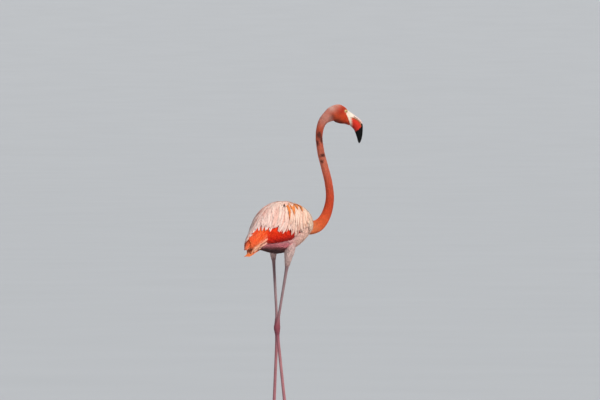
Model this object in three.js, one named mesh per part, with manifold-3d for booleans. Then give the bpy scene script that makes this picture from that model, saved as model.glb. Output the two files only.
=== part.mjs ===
// A life-size American flamingo, standing still with its neck in an S and its head turned to its right.
// Millimetres. +X is the way the body faces, +Y is the bird's left, +Z is up, and the soles lie at z = 0.
import * as THREE from "three";
import { mergeVertices } from "three/addons/utils/BufferGeometryUtils.js";
import Module from "manifold-3d";

const wasm = await Module();
wasm.setup();

// ---- driving dimensions ----

const cutGap = 0.3; // clear space between two neighbouring solids
const left = 1;
const right = -1;

// The plumage of the body, wings folded: [x, top, bottom, half width] from the tail end to the neck.
const plumage = [
  [-186, 603, 585, 7],
  [-168, 632, 583, 19],
  [-140, 666, 583, 30],
  [-100, 711, 583, 51],
  [-60, 740, 576, 68],
  [-20, 752, 571, 75],
  [20, 753, 576, 76],
  [60, 748, 590, 73],
  [95, 737, 606, 65],
  [125, 714, 622, 47],
  [148, 679, 631, 24],
];
const breastDepth = 4; // the breast and belly lie this much inside the folded wings
const wingDepth = 13; // thickness of a folded wing on the body

// Outline of a folded wing seen from the side, [x, z], from its top front corner down and back to its tip.
const wingFront = [
  [104, 790],
  [112, 712],
  [98, 674],
  [62, 645],
];
const wingHem = [
  [14, 626],
  [-40, 614],
  [-92, 606],
  [-140, 596],
  [-200, 560],
];
const wingRoof = 830; // above every part of the back

// The tail: a flat wedge under the wing tips, [x, z, half width, half thickness].
const tailStations = [
  [-84, 618, 24, 10],
  [-118, 603, 27, 8],
  [-150, 587, 25, 5.5],
  [-174, 575, 18, 3.5],
  [-190, 567, 8, 2],
];

// The neck: [forward, height, heading in degrees, radius], from the breast to the back of the head.
// forward grows along the heading of that stretch, so the neck turns to the right as it rises.
const neckStations = [
  [126, 655, 0, 27],
  [198, 668, 0, 20.5],
  [240, 704, 0, 17],
  [259.5, 757, 0, 14.6],
  [253, 811, -2, 13.4],
  [234, 866, -6, 12.8],
  [216.5, 918, -12, 12.2],
  [209, 974, -20, 11.8],
  [220, 1018.5, -28, 14],
  [245, 1044, -35, 20],
];
const neckCuts = [0, 0.3, 0.62, 1];
const neckWidth = 0.94; // side to side against front to back

// The head, in its own frame: x forward from above the nape, z up from the floor. Rows are [x, z].
const headTurn = -35; // degrees about +Z from the body's heading
const crown = [
  [-18.2, 1059.2],
  [0, 1074],
  [27, 1081.5],
  [48, 1073.5],
  [59.5, 1061.5],
];
const throat = [
  [8.8, 1030.4],
  [17, 1022.5],
  [32, 1017],
  [50, 1015],
  [70, 1009],
];
const headHalfWidth = [19, 23, 24, 20, 15];
const eyeRadius = 6.2;
const eyePlace = [49, 13.4, 1058];

// The bill, from its base to its tip: ridge, mouth line and keel.
const ridge = [
  [59.8, 1061.3],
  [74, 1051.5],
  [90, 1039.8],
  [104, 1029],
  [112, 1014],
  [113, 995],
  [111.3, 974],
  [107, 957],
  [102.6, 949.4],
];
const mouth = [
  [64.4, 1037],
  [77, 1035.5],
  [90, 1030],
  [100.5, 1021],
  [106.2, 1007.5],
  [107.2, 992],
  [106, 972],
  [103.6, 956],
  [101.6, 949],
];
const keel = [
  [70, 1009],
  [77, 1002],
  [83, 995],
  [87, 986],
  [90, 977.5],
  [93.5, 967.5],
  [96, 957.5],
  [98.8, 951],
  [100.6, 948.6],
];
const upperHalfWidth = [15, 13.2, 11.4, 9.6, 8.6, 7.6, 6.2, 4, 1];
const lowerHalfWidth = [15, 14.6, 13.6, 12.6, 11, 9, 7, 4.4, 1.2];

// The legs. Knees are hidden in the body, and the ankles almost touch.
const legs = {
  right: { side: right, knee: [6, -46, 645], cuff: 0, ankle: [-36.5, -12, 324], foot: [-16, -39], toesOut: 6 },
  left: { side: left, knee: [8, 46, 645], cuff: 18, ankle: [-5.5, 12, 324], foot: [8, 39], toesOut: 6 },
};
// [height, radius] down a leg, for each of its lengths. The feathers of the thigh end at a cuff.
const thighRadii = [
  [645, 33],
  [606, 25],
  [582, 18.5],
  [562, 13.6],
  [545, 10],
  [532, 7.4],
];
const shinRadii = [
  [532, 6.2],
  [505, 4.8],
  [450, 4.3],
  [395, 4],
  [356, 4.9],
];
const ankleRadii = [
  [356, 4.9],
  [342, 7.4],
  [326, 9.4],
  [314, 9.2],
  [302, 7],
  [292, 5.4],
];
const tarsusRadii = [
  [292, 5.4],
  [262, 4.8],
  [160, 4.7],
  [60, 5.2],
  [30, 6.4],
  [14, 7.4],
];
const footTop = 17; // a level cut parts the tarsus from the foot
const legDepth = 1.14; // front to back against side to side, below the thigh
const toes = [
  { name: "inner", turn: -27, length: 58, radius: 4.1 },
  { name: "middle", turn: 2, length: 71, radius: 4.4 },
  { name: "outer", turn: 31, length: 63, radius: 4.1 },
];
const toeSink = 0.78; // a toe's height over its radius, so that its underside is a flat strip
const clawHeight = 2.6;
const clawLength = 8;
const clawRadius = 2.3;
const webThickness = 1.6;
const webHeight = 0.9;
const halluxLength = 14;

// ---- shape helpers ----

const degrees = Math.PI / 180;

// Value at t, from 0 to 1, of a smooth curve through evenly spaced values.
function through(values, t) {
  const last = values.length - 1;
  const i = Math.min(Math.floor(Math.max(t, 0) * last), last - 1);
  const f = t * last - i;
  const [a, b, c, d] = [values[Math.max(i - 1, 0)], values[i], values[i + 1], values[Math.min(i + 2, last)]];
  return b + 0.5 * f * (c - a + f * (2 * a - 5 * b + 4 * c - d + f * (3 * (b - c) + d - a)));
}

// The same for each column of a table of rows.
function rowAt(rows, t) {
  return rows[0].map((_, column) => through(rows.map((row) => row[column]), t));
}

// A closed surface of rings: ring(t, angle) is a point, t runs from one capped end to the other.
function loft(ring, steps, around) {
  const points = [];
  for (let i = 0; i <= steps; i++) {
    for (let j = 0; j < around; j++) points.push(ring(i / steps, (j / around) * 2 * Math.PI));
  }
  const middleOf = (first) =>
    points
      .slice(first, first + around)
      .reduce((sum, point) => sum.add(point), new THREE.Vector3())
      .divideScalar(around);
  const start = points.length;
  points.push(middleOf(0), middleOf(steps * around));
  const faces = [];
  for (let j = 0; j < around; j++) {
    const next = (j + 1) % around;
    for (let i = 0; i < steps; i++) {
      const [a, b] = [i * around + j, i * around + next];
      faces.push(a, a + around, b, b, a + around, b + around);
    }
    faces.push(start, j, next, start + 1, steps * around + next, steps * around + j);
  }
  return new THREE.BufferGeometry().setFromPoints(points).setIndex(faces);
}

// A geometry as a manifold solid with its faces pointing out.
function solid(geometry) {
  const bare = geometry.clone();
  bare.deleteAttribute("normal");
  bare.deleteAttribute("uv");
  const merged = mergeVertices(bare, 1e-4);
  const vertProperties = merged.attributes.position.array;
  const build = (triVerts) => new wasm.Manifold(new wasm.Mesh({ numProp: 3, vertProperties, triVerts }));
  const made = build(new Uint32Array(merged.index.array));
  return made.volume() > 0 ? made : build(new Uint32Array(merged.index.array).reverse());
}

// The solid as a named mesh.
function meshOf(name, made, material) {
  const { vertProperties, triVerts } = made.getMesh();
  const geometry = new THREE.BufferGeometry();
  geometry.setAttribute("position", new THREE.BufferAttribute(new Float32Array(vertProperties), 3));
  geometry.setIndex(new THREE.BufferAttribute(new Uint32Array(triVerts), 1));
  geometry.computeVertexNormals();
  const mesh = new THREE.Mesh(geometry, material);
  mesh.name = name;
  return mesh;
}

// A tube of elliptical rings about a line of [position, radius] stations, across is its side-to-side direction.
function limb(stations, across, depth, steps, around) {
  const columns = stations.map(([position, radius]) => [...position, radius]);
  const centre = (t) => new THREE.Vector3(...rowAt(columns, t).slice(0, 3));
  const step = 0.01;
  const ring = (t, angle) => {
    const along = centre(Math.min(t + step, 1)).sub(centre(Math.max(t - step, 0))).normalize();
    const side = across.clone().addScaledVector(along, -across.dot(along)).normalize();
    const front = side.clone().cross(along);
    const radius = rowAt(columns, t)[3];
    return centre(t)
      .addScaledVector(side, radius * Math.cos(angle))
      .addScaledVector(front, radius * depth * Math.sin(angle));
  };
  return solid(loft(ring, steps, around));
}

function box(low, high) {
  const size = high.map((value, i) => value - low[i]);
  const centre = high.map((value, i) => (value + low[i]) / 2);
  return solid(new THREE.BoxGeometry(...size).translate(...centre));
}

const material = (color, roughness) => new THREE.MeshStandardMaterial({ color, roughness, metalness: 0 });
const feathers = material(0xee9a80, 0.8);
const neckFeathers = material(0xd9512f, 0.8);
const wingFeathers = material(0xf0b8a6, 0.8);
const legSkin = material(0xb98a8c, 0.55);
const jointSkin = material(0xb04a5e, 0.55);
const horn = material(0xeacfc0, 0.4);
const blackHorn = material(0x17130f, 0.35);
const iris = material(0xe8cf7a, 0.1);

// ---- body, wings and tail ----

// The body's outer form, drawn in by inset on every side.
function bodyForm(inset, steps, around) {
  const ring = (t, angle) => {
    const [x, top, bottom, half] = rowAt(plumage, t);
    const middle = bottom + 0.52 * (top - bottom);
    const rise = Math.sin(angle);
    const reach = rise > 0 ? top - middle : middle - bottom;
    const share = Math.max(0.12, 1 - inset / Math.min(half, reach)) * reach;
    return new THREE.Vector3(x, Math.max(half - inset, 0.12 * half) * Math.cos(angle), middle + rise * share);
  };
  return solid(loft(ring, steps, around));
}

// Everything above and inside the folded wing's outline on one side, moved out by gap at its front and hem.
function wingRegion(side, gap) {
  const outline = [...wingFront, ...wingHem].map(([x, z]) => new THREE.Vector2(x + gap, z - gap));
  const shape = new THREE.Shape();
  shape.moveTo(outline[0].x, wingRoof);
  shape.lineTo(outline[0].x, outline[0].y);
  shape.splineThru(outline.slice(1));
  shape.lineTo(outline.at(-1).x, wingRoof);
  const prism = new THREE.ExtrudeGeometry(shape, { depth: 120, bevelEnabled: false, curveSegments: 3 });
  prism.rotateX(Math.PI / 2).translate(0, gap - cutGap / 2, 0);
  if (side === left) prism.scale(1, -1, 1);
  return solid(prism);
}

const outerForm = bodyForm(0, 16, 24);
const bodyRoom = bodyForm(-cutGap, 16, 24);
const coreForm = bodyForm(wingDepth, 13, 16);
const coreRoom = bodyForm(wingDepth - cutGap, 13, 16);
const openBody = bodyForm(breastDepth, 16, 24)
  .subtract(wingRegion(right, cutGap))
  .subtract(wingRegion(left, cutGap));
const trunk = openBody.add(coreForm);
const wings = Object.fromEntries(
  [right, left].map((side) => [side, outerForm.intersect(wingRegion(side, 0)).subtract(coreRoom)]),
);

const tailRing = (t, angle) => {
  const [x, z, half, thick] = rowAt(tailStations, t);
  return new THREE.Vector3(x, half * Math.cos(angle), z + thick * Math.sin(angle));
};
const tail = solid(loft(tailRing, 8, 14)).subtract(bodyRoom);

// ---- neck ----

// Neck stations as [x, y, z, heading, radius] in the bird's frame.
const neckLine = [];
neckStations.forEach(([forward, height, heading, radius], i) => {
  const [lastForward, , lastHeading] = neckStations[Math.max(i - 1, 0)];
  const turn = ((heading + lastHeading) / 2) * degrees;
  const [x, y] = i ? neckLine[i - 1] : [forward, 0];
  const gone = forward - lastForward;
  neckLine.push([x + gone * Math.cos(turn), y + gone * Math.sin(turn), height, heading, radius]);
});

function neckRing(t, angle) {
  const [x, y, z, heading, radius] = rowAt(neckLine, t);
  const [before, after] = [Math.max(t - 0.01, 0), Math.min(t + 0.01, 1)].map((at) => rowAt(neckLine, at));
  const along = new THREE.Vector3(after[0] - before[0], after[1] - before[1], after[2] - before[2]).normalize();
  const across = new THREE.Vector3(-Math.sin(heading * degrees), Math.cos(heading * degrees), 0);
  const side = across.addScaledVector(along, -across.dot(along)).normalize();
  const back = along.clone().cross(side);
  return new THREE.Vector3(x, y, z)
    .addScaledVector(side, radius * neckWidth * Math.cos(angle))
    .addScaledVector(back, radius * Math.sin(angle));
}

const neckLength = 600; // turns the gap into a share of the neck
const neckPieces = neckCuts.slice(1).map((end, i) => {
  const from = neckCuts[i] + cutGap / neckLength;
  const to = end - cutGap / neckLength;
  const piece = solid(loft((t, angle) => neckRing(from + t * (to - from), angle), 10, 14));
  return i ? piece : piece.subtract(bodyRoom);
});

// ---- head and bill, in the head's frame ----

// Rings between an upper and a lower outline, each in the plane through both points and the side direction.
function between(upper, lower, halfWidth, section, steps, around) {
  const ring = (t, angle) => {
    const [topX, topZ] = rowAt(upper, t);
    const [lowX, lowZ] = rowAt(lower, t);
    const [side, share] = section(angle);
    return new THREE.Vector3(lowX + (topX - lowX) * share, through(halfWidth, t) * side, lowZ + (topZ - lowZ) * share);
  };
  return solid(loft(ring, steps, around));
}

const roundSection = (angle) => [Math.cos(angle), 0.5 + 0.5 * Math.sin(angle)];
// An arch standing on a flat floor, and a trough under a flat lid.
const archSection = (angle) => [Math.cos(angle), Math.max(0, Math.sin(angle)) ** 0.8];
const troughSection = (angle) => [Math.cos(angle), 1 - Math.max(0, -Math.sin(angle)) ** 0.75];

const eyeball = (side, radius) => {
  const [x, y, z] = eyePlace;
  return solid(new THREE.SphereGeometry(radius, 10, 8).rotateX(Math.PI / 2).translate(x, side * y, z));
};
const skull = between(crown, throat, headHalfWidth, roundSection, 12, 18);
const head = skull.subtract(eyeball(left, eyeRadius + cutGap)).subtract(eyeball(right, eyeRadius + cutGap));

// Each half of the bill stands clear of the head and of the other half.
const movedBy = (rows, [x, z]) => rows.map(([rowX, rowZ]) => [rowX + x, rowZ + z]);
const upperClear = [2.4 * cutGap, cutGap / 3];
const lowerClear = [1.2 * cutGap, -cutGap];
const billUpper = between(
  movedBy(ridge, upperClear),
  movedBy(mouth, upperClear),
  upperHalfWidth,
  archSection,
  16,
  14,
);
const billLower = between(
  movedBy(mouth, lowerClear),
  movedBy(keel, lowerClear),
  lowerHalfWidth,
  troughSection,
  16,
  14,
);

// ---- legs ----

// A length of leg: its [height, radius] table strung along the line between two points.
function legLength(from, to, radii, depth, steps, around) {
  const top = new THREE.Vector3(...from);
  const bottom = new THREE.Vector3(...to);
  const [high, low] = [radii[0][0] - cutGap / 2, radii.at(-1)[0] + cutGap / 2];
  const stations = radii.map(([height, radius]) => {
    const z = Math.min(Math.max(height, low), high);
    return [top.clone().lerp(bottom, (top.z - z) / (top.z - bottom.z)).toArray(), radius];
  });
  return limb(stations, new THREE.Vector3(0, 1, 0), depth, steps, around);
}

// A foot at the origin with its toes towards +X: three webbed front toes and a small raised hind toe.
function footAt(side) {
  const up = new THREE.Vector3(0, 0, 1);
  const across = (turn) => new THREE.Vector3(0, 1, 0).applyAxisAngle(up, turn * degrees);
  const reach = (turn, distance, z) => [
    distance * Math.cos(turn * degrees),
    distance * Math.sin(turn * degrees),
    z,
  ];
  const turned = toes.map((toe) => ({ ...toe, turn: side * toe.turn }));
  let foot = limb(
    [[[-2, 0, footTop + 3], 7.4], [[-1, 0, 10], 8.2], [[0, 0, 3], 7.4], [[0, 0, -2], 5]],
    across(0), 1.1, 5, 10,
  );
  const claws = turned.map(({ name, turn, length, radius }) => {
    const knuckles = [0, 0.2, 0.4, 0.58, 0.76, 0.92, 1].map((share, i) => {
      const thick = radius * (i % 2 ? 0.9 : 1) * (1 - 0.34 * share);
      return [reach(turn, share * length, toeSink * thick), thick];
    });
    foot = foot.add(limb(knuckles, across(turn), 1.02, 8, 7));
    const claw = [0, 0.35, 0.7, 1].map((share) => [
      reach(turn, length + cutGap + share * clawLength, clawHeight - 0.9 * share ** 2),
      clawRadius * (1 - 0.78 * share),
    ]);
    return [name, limb(claw, across(turn), 1, 4, 6)];
  });
  // The web: its front edge dips between the toes.
  const webTip = (toe) => reach(toe.turn, toe.length * 0.93, 0);
  const web = new THREE.Shape();
  web.moveTo(0, 0);
  web.lineTo(...webTip(turned[0]).slice(0, 2));
  [1, 2].forEach((i) => {
    const middle = (turned[i - 1].turn + turned[i].turn) / 2;
    const dip = reach(middle, 0.7 * Math.min(turned[i - 1].length, turned[i].length), 0);
    web.quadraticCurveTo(dip[0], dip[1], ...webTip(turned[i]).slice(0, 2));
  });
  const sheet = new THREE.ExtrudeGeometry(web, { depth: webThickness, bevelEnabled: false, curveSegments: 3 });
  foot = foot.add(solid(sheet.translate(0, 0, webHeight)));
  const halluxLine = [0, 0.5, 1].map((share) => [
    [-5 - halluxLength * share, -side * (2 + 3 * share), 12 - 6 * share],
    2.9 - 1.3 * share,
  ]);
  foot = foot.add(limb(halluxLine, across(0), 1, 4, 8));
  foot = foot.subtract(box([-60, -90, -40], [110, 90, 0])).subtract(box([-60, -90, footTop], [110, 90, 60]));
  return { foot, claws };
}

function legOf(name, { side, knee, cuff, ankle, foot, toesOut }) {
  const sole = [...foot, 0];
  const joint = [foot[0] - 2, foot[1], tarsusRadii.at(-1)[0]];
  const raised = ([height, radius], i) => [i ? height + cuff : height, radius];
  const thigh = legLength(knee, ankle, thighRadii.map(raised), 1, 9, 14);
  const shinTop = [shinRadii[0][0] + cuff, shinRadii[0][1]];
  const shin = legLength(knee, ankle, [shinTop, ...shinRadii.slice(1)], legDepth, 10, 10);
  const tarsus = legLength(ankle, joint, tarsusRadii, legDepth, 10, 10);
  const underfoot = box([-200, -200, -40], [200, 200, footTop + cutGap]);
  const { foot: footSolid, claws } = footAt(side);
  const footGroup = new THREE.Group();
  footGroup.position.set(...sole);
  footGroup.rotation.z = side * toesOut * degrees;
  footGroup.add(meshOf(`foot_${name}`, footSolid, jointSkin));
  claws.forEach(([toe, claw]) => footGroup.add(meshOf(`claw_${toe}_${name}`, claw, blackHorn)));
  const leg = new THREE.Group();
  leg.add(
    meshOf(`thigh_${name}`, thigh.subtract(trunkRoom).subtract(wingRegion(side, cutGap)), feathers),
    meshOf(`shin_${name}`, shin, legSkin),
    meshOf(`ankle_${name}`, ankleSolid(knee, ankle, joint), jointSkin),
    meshOf(`tarsus_${name}`, tarsus.subtract(underfoot), legSkin),
    footGroup,
  );
  return leg;
}

// The ankle follows the shin's line down to its middle and the tarsus's line below it.
function ankleSolid(knee, ankle, joint) {
  const middle = new THREE.Vector3(...ankle);
  const onLine = (other, z) => {
    const far = new THREE.Vector3(...other);
    return middle.clone().lerp(far, (z - middle.z) / (far.z - middle.z)).toArray();
  };
  const [high, low] = [ankleRadii[0][0] - cutGap / 2, ankleRadii.at(-1)[0] + cutGap / 2];
  const stations = ankleRadii.map(([height, radius]) => {
    const z = Math.min(Math.max(height, low), high);
    return [onLine(z > middle.z ? knee : joint, z), radius];
  });
  return limb(stations, new THREE.Vector3(0, 1, 0), legDepth, 9, 10);
}

// Room for the trunk in the top of each thigh.
const trunkRoom = bodyForm(breastDepth - cutGap, 16, 24);

// ---- assembly ----

const bird = new THREE.Group();
bird.add(
  meshOf("trunk", trunk, feathers),
  meshOf("wing_right", wings[right], wingFeathers),
  meshOf("wing_left", wings[left], wingFeathers),
  meshOf("tail", tail, wingFeathers),
);
["neck_lower", "neck_middle", "neck_upper"].forEach((name, i) =>
  bird.add(meshOf(name, neckPieces[i], neckFeathers)),
);

// The head turns about the top of the neck.
const [napeX, napeY] = neckLine.at(-1);
const napeForward = -6.3; // from the head frame's origin to the neck's last ring
const headGroup = new THREE.Group();
headGroup.rotation.z = headTurn * degrees;
headGroup.position.set(
  napeX - napeForward * Math.cos(headTurn * degrees),
  napeY - napeForward * Math.sin(headTurn * degrees),
  0,
);
headGroup.add(
  meshOf("head", head, neckFeathers),
  meshOf("bill_upper", billUpper, horn),
  meshOf("bill_lower", billLower, blackHorn),
  meshOf("eye_right", eyeball(right, eyeRadius), iris),
  meshOf("eye_left", eyeball(left, eyeRadius), iris),
);
bird.add(headGroup);
Object.entries(legs).forEach(([name, leg]) => bird.add(legOf(name, leg)));

// The model's origin is the middle of its outline on the floor.
const reach = new THREE.Box3().setFromObject(bird, true);
const standing = reach.getCenter(new THREE.Vector3());
bird.position.set(-standing.x, -standing.y, -reach.min.z);

const flamingo = new THREE.Group();
flamingo.add(bird);
export default flamingo;
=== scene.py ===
import bpy
import numpy as np
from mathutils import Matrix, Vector


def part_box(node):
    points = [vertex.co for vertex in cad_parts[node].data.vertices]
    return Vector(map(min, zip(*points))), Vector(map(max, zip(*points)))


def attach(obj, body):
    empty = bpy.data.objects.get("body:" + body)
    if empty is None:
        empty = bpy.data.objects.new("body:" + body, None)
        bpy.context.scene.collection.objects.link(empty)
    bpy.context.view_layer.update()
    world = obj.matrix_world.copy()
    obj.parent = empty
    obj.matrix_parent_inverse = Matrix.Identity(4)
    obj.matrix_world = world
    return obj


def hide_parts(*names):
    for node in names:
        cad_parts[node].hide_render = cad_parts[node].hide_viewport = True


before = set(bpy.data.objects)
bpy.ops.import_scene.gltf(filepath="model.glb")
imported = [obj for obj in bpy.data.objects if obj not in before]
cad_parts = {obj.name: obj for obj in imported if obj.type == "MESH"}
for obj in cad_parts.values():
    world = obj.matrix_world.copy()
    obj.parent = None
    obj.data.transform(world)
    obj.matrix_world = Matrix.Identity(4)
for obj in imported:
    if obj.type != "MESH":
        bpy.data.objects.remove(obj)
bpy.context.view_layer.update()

# Shapes are worked out in millimetres in the bird's own frame: +X the way the body faces, +Y its left, +Z up.
# On every long form t runs along it and b is the angle round it, 0 along the back and positive to the left.
# Colours are sRGB hex codes, made linear by tone().


def tone(code):
    srgb = np.array([int(code[i:i + 2], 16) / 255 for i in (0, 2, 4)])
    return np.where(srgb <= 0.04045, srgb / 12.92, ((srgb + 0.055) / 1.055) ** 2.4)


def through(rows, t):  # smooth curve through evenly spaced rows, t from 0 to 1
    rows, t = np.asarray(rows, float), np.clip(np.asarray(t, float), 0, 1)
    last = len(rows) - 1
    i = np.minimum((t * last).astype(int), last - 1)
    f = t * last - i
    f = f[..., None] if rows.ndim > 1 else f
    a, b, c, d = (rows[np.clip(i + k, 0, last)] for k in (-1, 0, 1, 2))
    return b + 0.5 * f * (c - a + f * (2 * a - 5 * b + 4 * c - d + f * (3 * (b - c) + d - a)))


def ramp(t, stops):  # colours blended between (place, hex code) stops
    places = [place for place, code in stops]
    colours = np.array([tone(code) for place, code in stops])
    return np.stack([np.interp(t, places, colours[:, i]) for i in range(3)], -1)


def soft(x, low, high):  # 0 below low, 1 above high, eased between
    f = np.clip((np.asarray(x, float) - low) / (high - low), 0, 1)
    return f * f * (3 - 2 * f)


def bell(x, middle, reach):
    return np.exp(-((x - middle) / reach) ** 2)


def blendTo(colours, code, share):
    return colours + (tone(code) - colours) * np.asarray(share)[..., None]


def unit(v):
    return v / np.maximum(np.linalg.norm(v, axis=-1, keepdims=True), 1e-9)


def lengthsAlong(line):  # how far along the line each of its points lies
    return np.concatenate([[0], np.cumsum(np.linalg.norm(np.diff(line, axis=0), axis=1))])


def tubeQuads(stations, around, count=1):  # sides and caps of closed tubes whose points lie ring by ring
    ring = np.arange(around)
    start = np.arange(stations - 1)[:, None] * around
    a, b = start + ring, start + (ring + 1) % around
    sideFaces = np.stack([a, b, b + around, a + around], -1).reshape(-1, 4)
    j = np.arange(around // 2 - 1)
    cap = np.stack([j, j + 1, around - 2 - j, around - 1 - j], -1)
    one = np.concatenate([sideFaces, cap[:, ::-1], cap + (stations - 1) * around])
    return (one + np.arange(count)[:, None, None] * stations * around).reshape(-1, 4)


def facingOut(points, quads):  # turns the quads round if the closed form they make is inside out
    a, b, c, d = (points[quads[:, i]] for i in range(4))
    volume = np.einsum("ij,ij->i", a, np.cross(b, c)) + np.einsum("ij,ij->i", a, np.cross(c, d))
    return quads if volume.sum() > 0 else quads[:, ::-1]


def joined(parts):  # several (points, quads, tint) forms as one
    starts = np.cumsum([0] + [len(part[0]) for part in parts[:-1]])
    points = np.concatenate([part[0] for part in parts])
    quads = np.concatenate([part[1] + start for part, start in zip(parts, starts)])
    return points, quads, np.concatenate([part[2] for part in parts])


def linked(thing):
    bpy.context.scene.collection.objects.link(thing)
    return thing


def colourMesh(mesh, tint):
    layer = mesh.color_attributes.new("tint", "FLOAT_COLOR", "POINT")
    rgba = np.concatenate([np.clip(tint, 0, 1), np.ones((len(tint), 1))], 1)
    layer.data.foreach_set("color", rgba.ravel().astype(np.float32))


def meshPiece(name, points, quads, tint, material):
    mesh = bpy.data.meshes.new(name)
    mesh.vertices.add(len(points))
    mesh.vertices.foreach_set("co", toScene(points).ravel().astype(np.float32))
    mesh.loops.add(quads.size)
    mesh.loops.foreach_set("vertex_index", quads.ravel().astype(np.int32))
    mesh.polygons.add(len(quads))
    mesh.polygons.foreach_set("loop_start", np.arange(0, quads.size, 4, dtype=np.int32))
    mesh.polygons.foreach_set("use_smooth", np.ones(len(quads), bool))
    mesh.update(calc_edges=True)
    colourMesh(mesh, tint)
    mesh.materials.append(material)
    return linked(bpy.data.objects.new(name, mesh))


def meshPoints(mesh):  # a mesh's points, back in the bird's frame
    flat = np.empty(len(mesh.vertices) * 3, np.float32)
    mesh.vertices.foreach_get("co", flat)
    return (flat.reshape(-1, 3) - sceneShift) * 1000


def finishPiece(piece, nodes=()):
    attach(piece, "root")
    if nodes:
        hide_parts(*nodes)
    print(f"{piece.name}: {sum(len(p.vertices) - 2 for p in piece.data.polygons)} triangles")


bodyShape = {  # the body with its wings folded: rows of x, top, bottom and half width from tail end to neck
    "rows": [
        [-186, 601, 589, 6], [-168, 627, 590, 17], [-140, 661, 589, 29], [-100, 707, 584, 51],
        [-60, 737, 576, 68], [-20, 749, 571, 75], [20, 750, 577, 76], [60, 745, 592, 72],
        [95, 734, 611, 60], [125, 712, 632, 39], [148, 682, 644, 20], [172, 676, 649, 13],
    ],
    "middle": 0.52,  # height of the widest place, as a share of the depth
    "wingTip": (-187, 4, 592),
}
neckShape = {  # forward, height, heading in degrees, radius
    "rows": [
        [126, 657, 0, 24.5], [198, 668, 0, 20.5], [240, 704, 0, 17], [259.5, 757, 0, 14.6],
        [253, 811, -2, 13.4], [234, 866, -6, 12.8], [216.5, 918, -12, 12.2], [209, 974, -20, 11.8],
        [220, 1018.5, -28, 14], [245, 1044, -35, 20],
    ],
    "width": 0.94,  # side to side against front to back
}
headShape = {  # in the head's own frame, x forward from above the nape
    "turn": -35,
    "nape": -6.3,  # where the neck's last ring stands
    "crown": [[-18.2, 1059.2], [0, 1074], [27, 1081.5], [48, 1073.5], [59.5, 1061.5]],
    "throat": [[6.6, 1025.4], [19, 1020.6], [33, 1016.5], [50, 1015], [70, 1009]],
    "halfWidth": [19, 23, 24, 20, 15],
    "eye": [49, 13.4, 1058],  # middle of the left eye
    "eyeRadius": 6.2,
    "socket": {"depth": 1.6, "start": 2, "reach": 6},  # a shallow dip under the brow
    "cheek": {"swell": 1.6, "x": 30, "z": 1037, "long": 14, "high": 11},
    "lores": {"swell": -1.3, "x": 58, "z": 1048, "long": 6, "high": 8},
}


def neckLine():  # rows of x, y, z, heading and radius; the heading turns the neck as it rises
    rows = []
    for i, (forward, height, heading, radius) in enumerate(neckShape["rows"]):
        lastForward, _, lastHeading, _ = neckShape["rows"][max(i - 1, 0)]
        turn = np.radians((heading + lastHeading) / 2)
        x, y = rows[-1][:2] if rows else (forward, 0)
        gone = forward - lastForward
        rows.append([x + gone * np.cos(turn), y + gone * np.sin(turn), height, heading, radius])
    return rows


neckRows = neckLine()
headTurn = np.radians(headShape["turn"])
headOrigin = np.array(neckRows[-1][:2]) - headShape["nape"] * np.array([np.cos(headTurn), np.sin(headTurn)])


def fromHead(points):  # the head's own frame to the bird's
    x, y, z = np.moveaxis(np.asarray(points, float), -1, 0)
    return np.stack([
        headOrigin[0] + x * np.cos(headTurn) - y * np.sin(headTurn),
        headOrigin[1] + x * np.sin(headTurn) + y * np.cos(headTurn),
        z,
    ], -1)


def toHead(points):
    x, y = points[..., 0] - headOrigin[0], points[..., 1] - headOrigin[1]
    forward = x * np.cos(headTurn) + y * np.sin(headTurn)
    return np.stack([forward, y * np.cos(headTurn) - x * np.sin(headTurn), points[..., 2]], -1)


def boxCentre(node):
    low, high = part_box(node)
    return (np.array(low) + np.array(high)) / 2


eyesMiddle = (boxCentre("eye_right") + boxCentre("eye_left")) / 2  # ties the bird's frame to the model's
sceneShift = eyesMiddle - fromHead([headShape["eye"][0], 0, headShape["eye"][2]]) / 1000


def toScene(points):
    return points / 1000 + sceneShift


def bodyPoint(t, b):
    x, top, bottom, half = np.moveaxis(through(bodyShape["rows"], t), -1, 0)
    middle = bottom + bodyShape["middle"] * (top - bottom)
    reach = np.where(np.cos(b) > 0, top - middle, middle - bottom)
    return np.stack([x + 0 * b, half * np.sin(b), middle + np.cos(b) * reach], -1)


def bodyAt(x):  # t of the body's form at a place along it
    fine = np.linspace(0, 1, 800)
    return np.interp(x, through(bodyShape["rows"], fine)[:, 0], fine)


def crestRings():  # neck and head as one form: rings of middle, reach to the back and reach to the left
    rings = []
    for i, (x, y, z, heading, radius) in enumerate(neckRows[:-1]):
        along = unit(np.subtract(neckRows[i + 1][:3], neckRows[max(i - 1, 0)][:3]))
        turn = np.radians(heading)
        across = np.array([-np.sin(turn), np.cos(turn), 0])
        side = unit(across - along * np.dot(across, along))
        back = np.cross(along, side)
        rings.append(np.concatenate([[x, y, z], back * radius, side * radius * neckShape["width"]]))
    for crown, throat, half in zip(headShape["crown"], headShape["throat"], headShape["halfWidth"]):
        crownPoint, throatPoint = fromHead([crown[0], 0, crown[1]]), fromHead([throat[0], 0, throat[1]])
        side = np.array([-np.sin(headTurn), np.cos(headTurn), 0]) * half
        rings.append(np.concatenate([(crownPoint + throatPoint) / 2, (crownPoint - throatPoint) / 2, side]))
    return np.array(rings)


crest = crestRings()
neckEnd = (len(neckRows) - 1) / (len(crest) - 1)  # where the neck ends and the head begins


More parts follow.
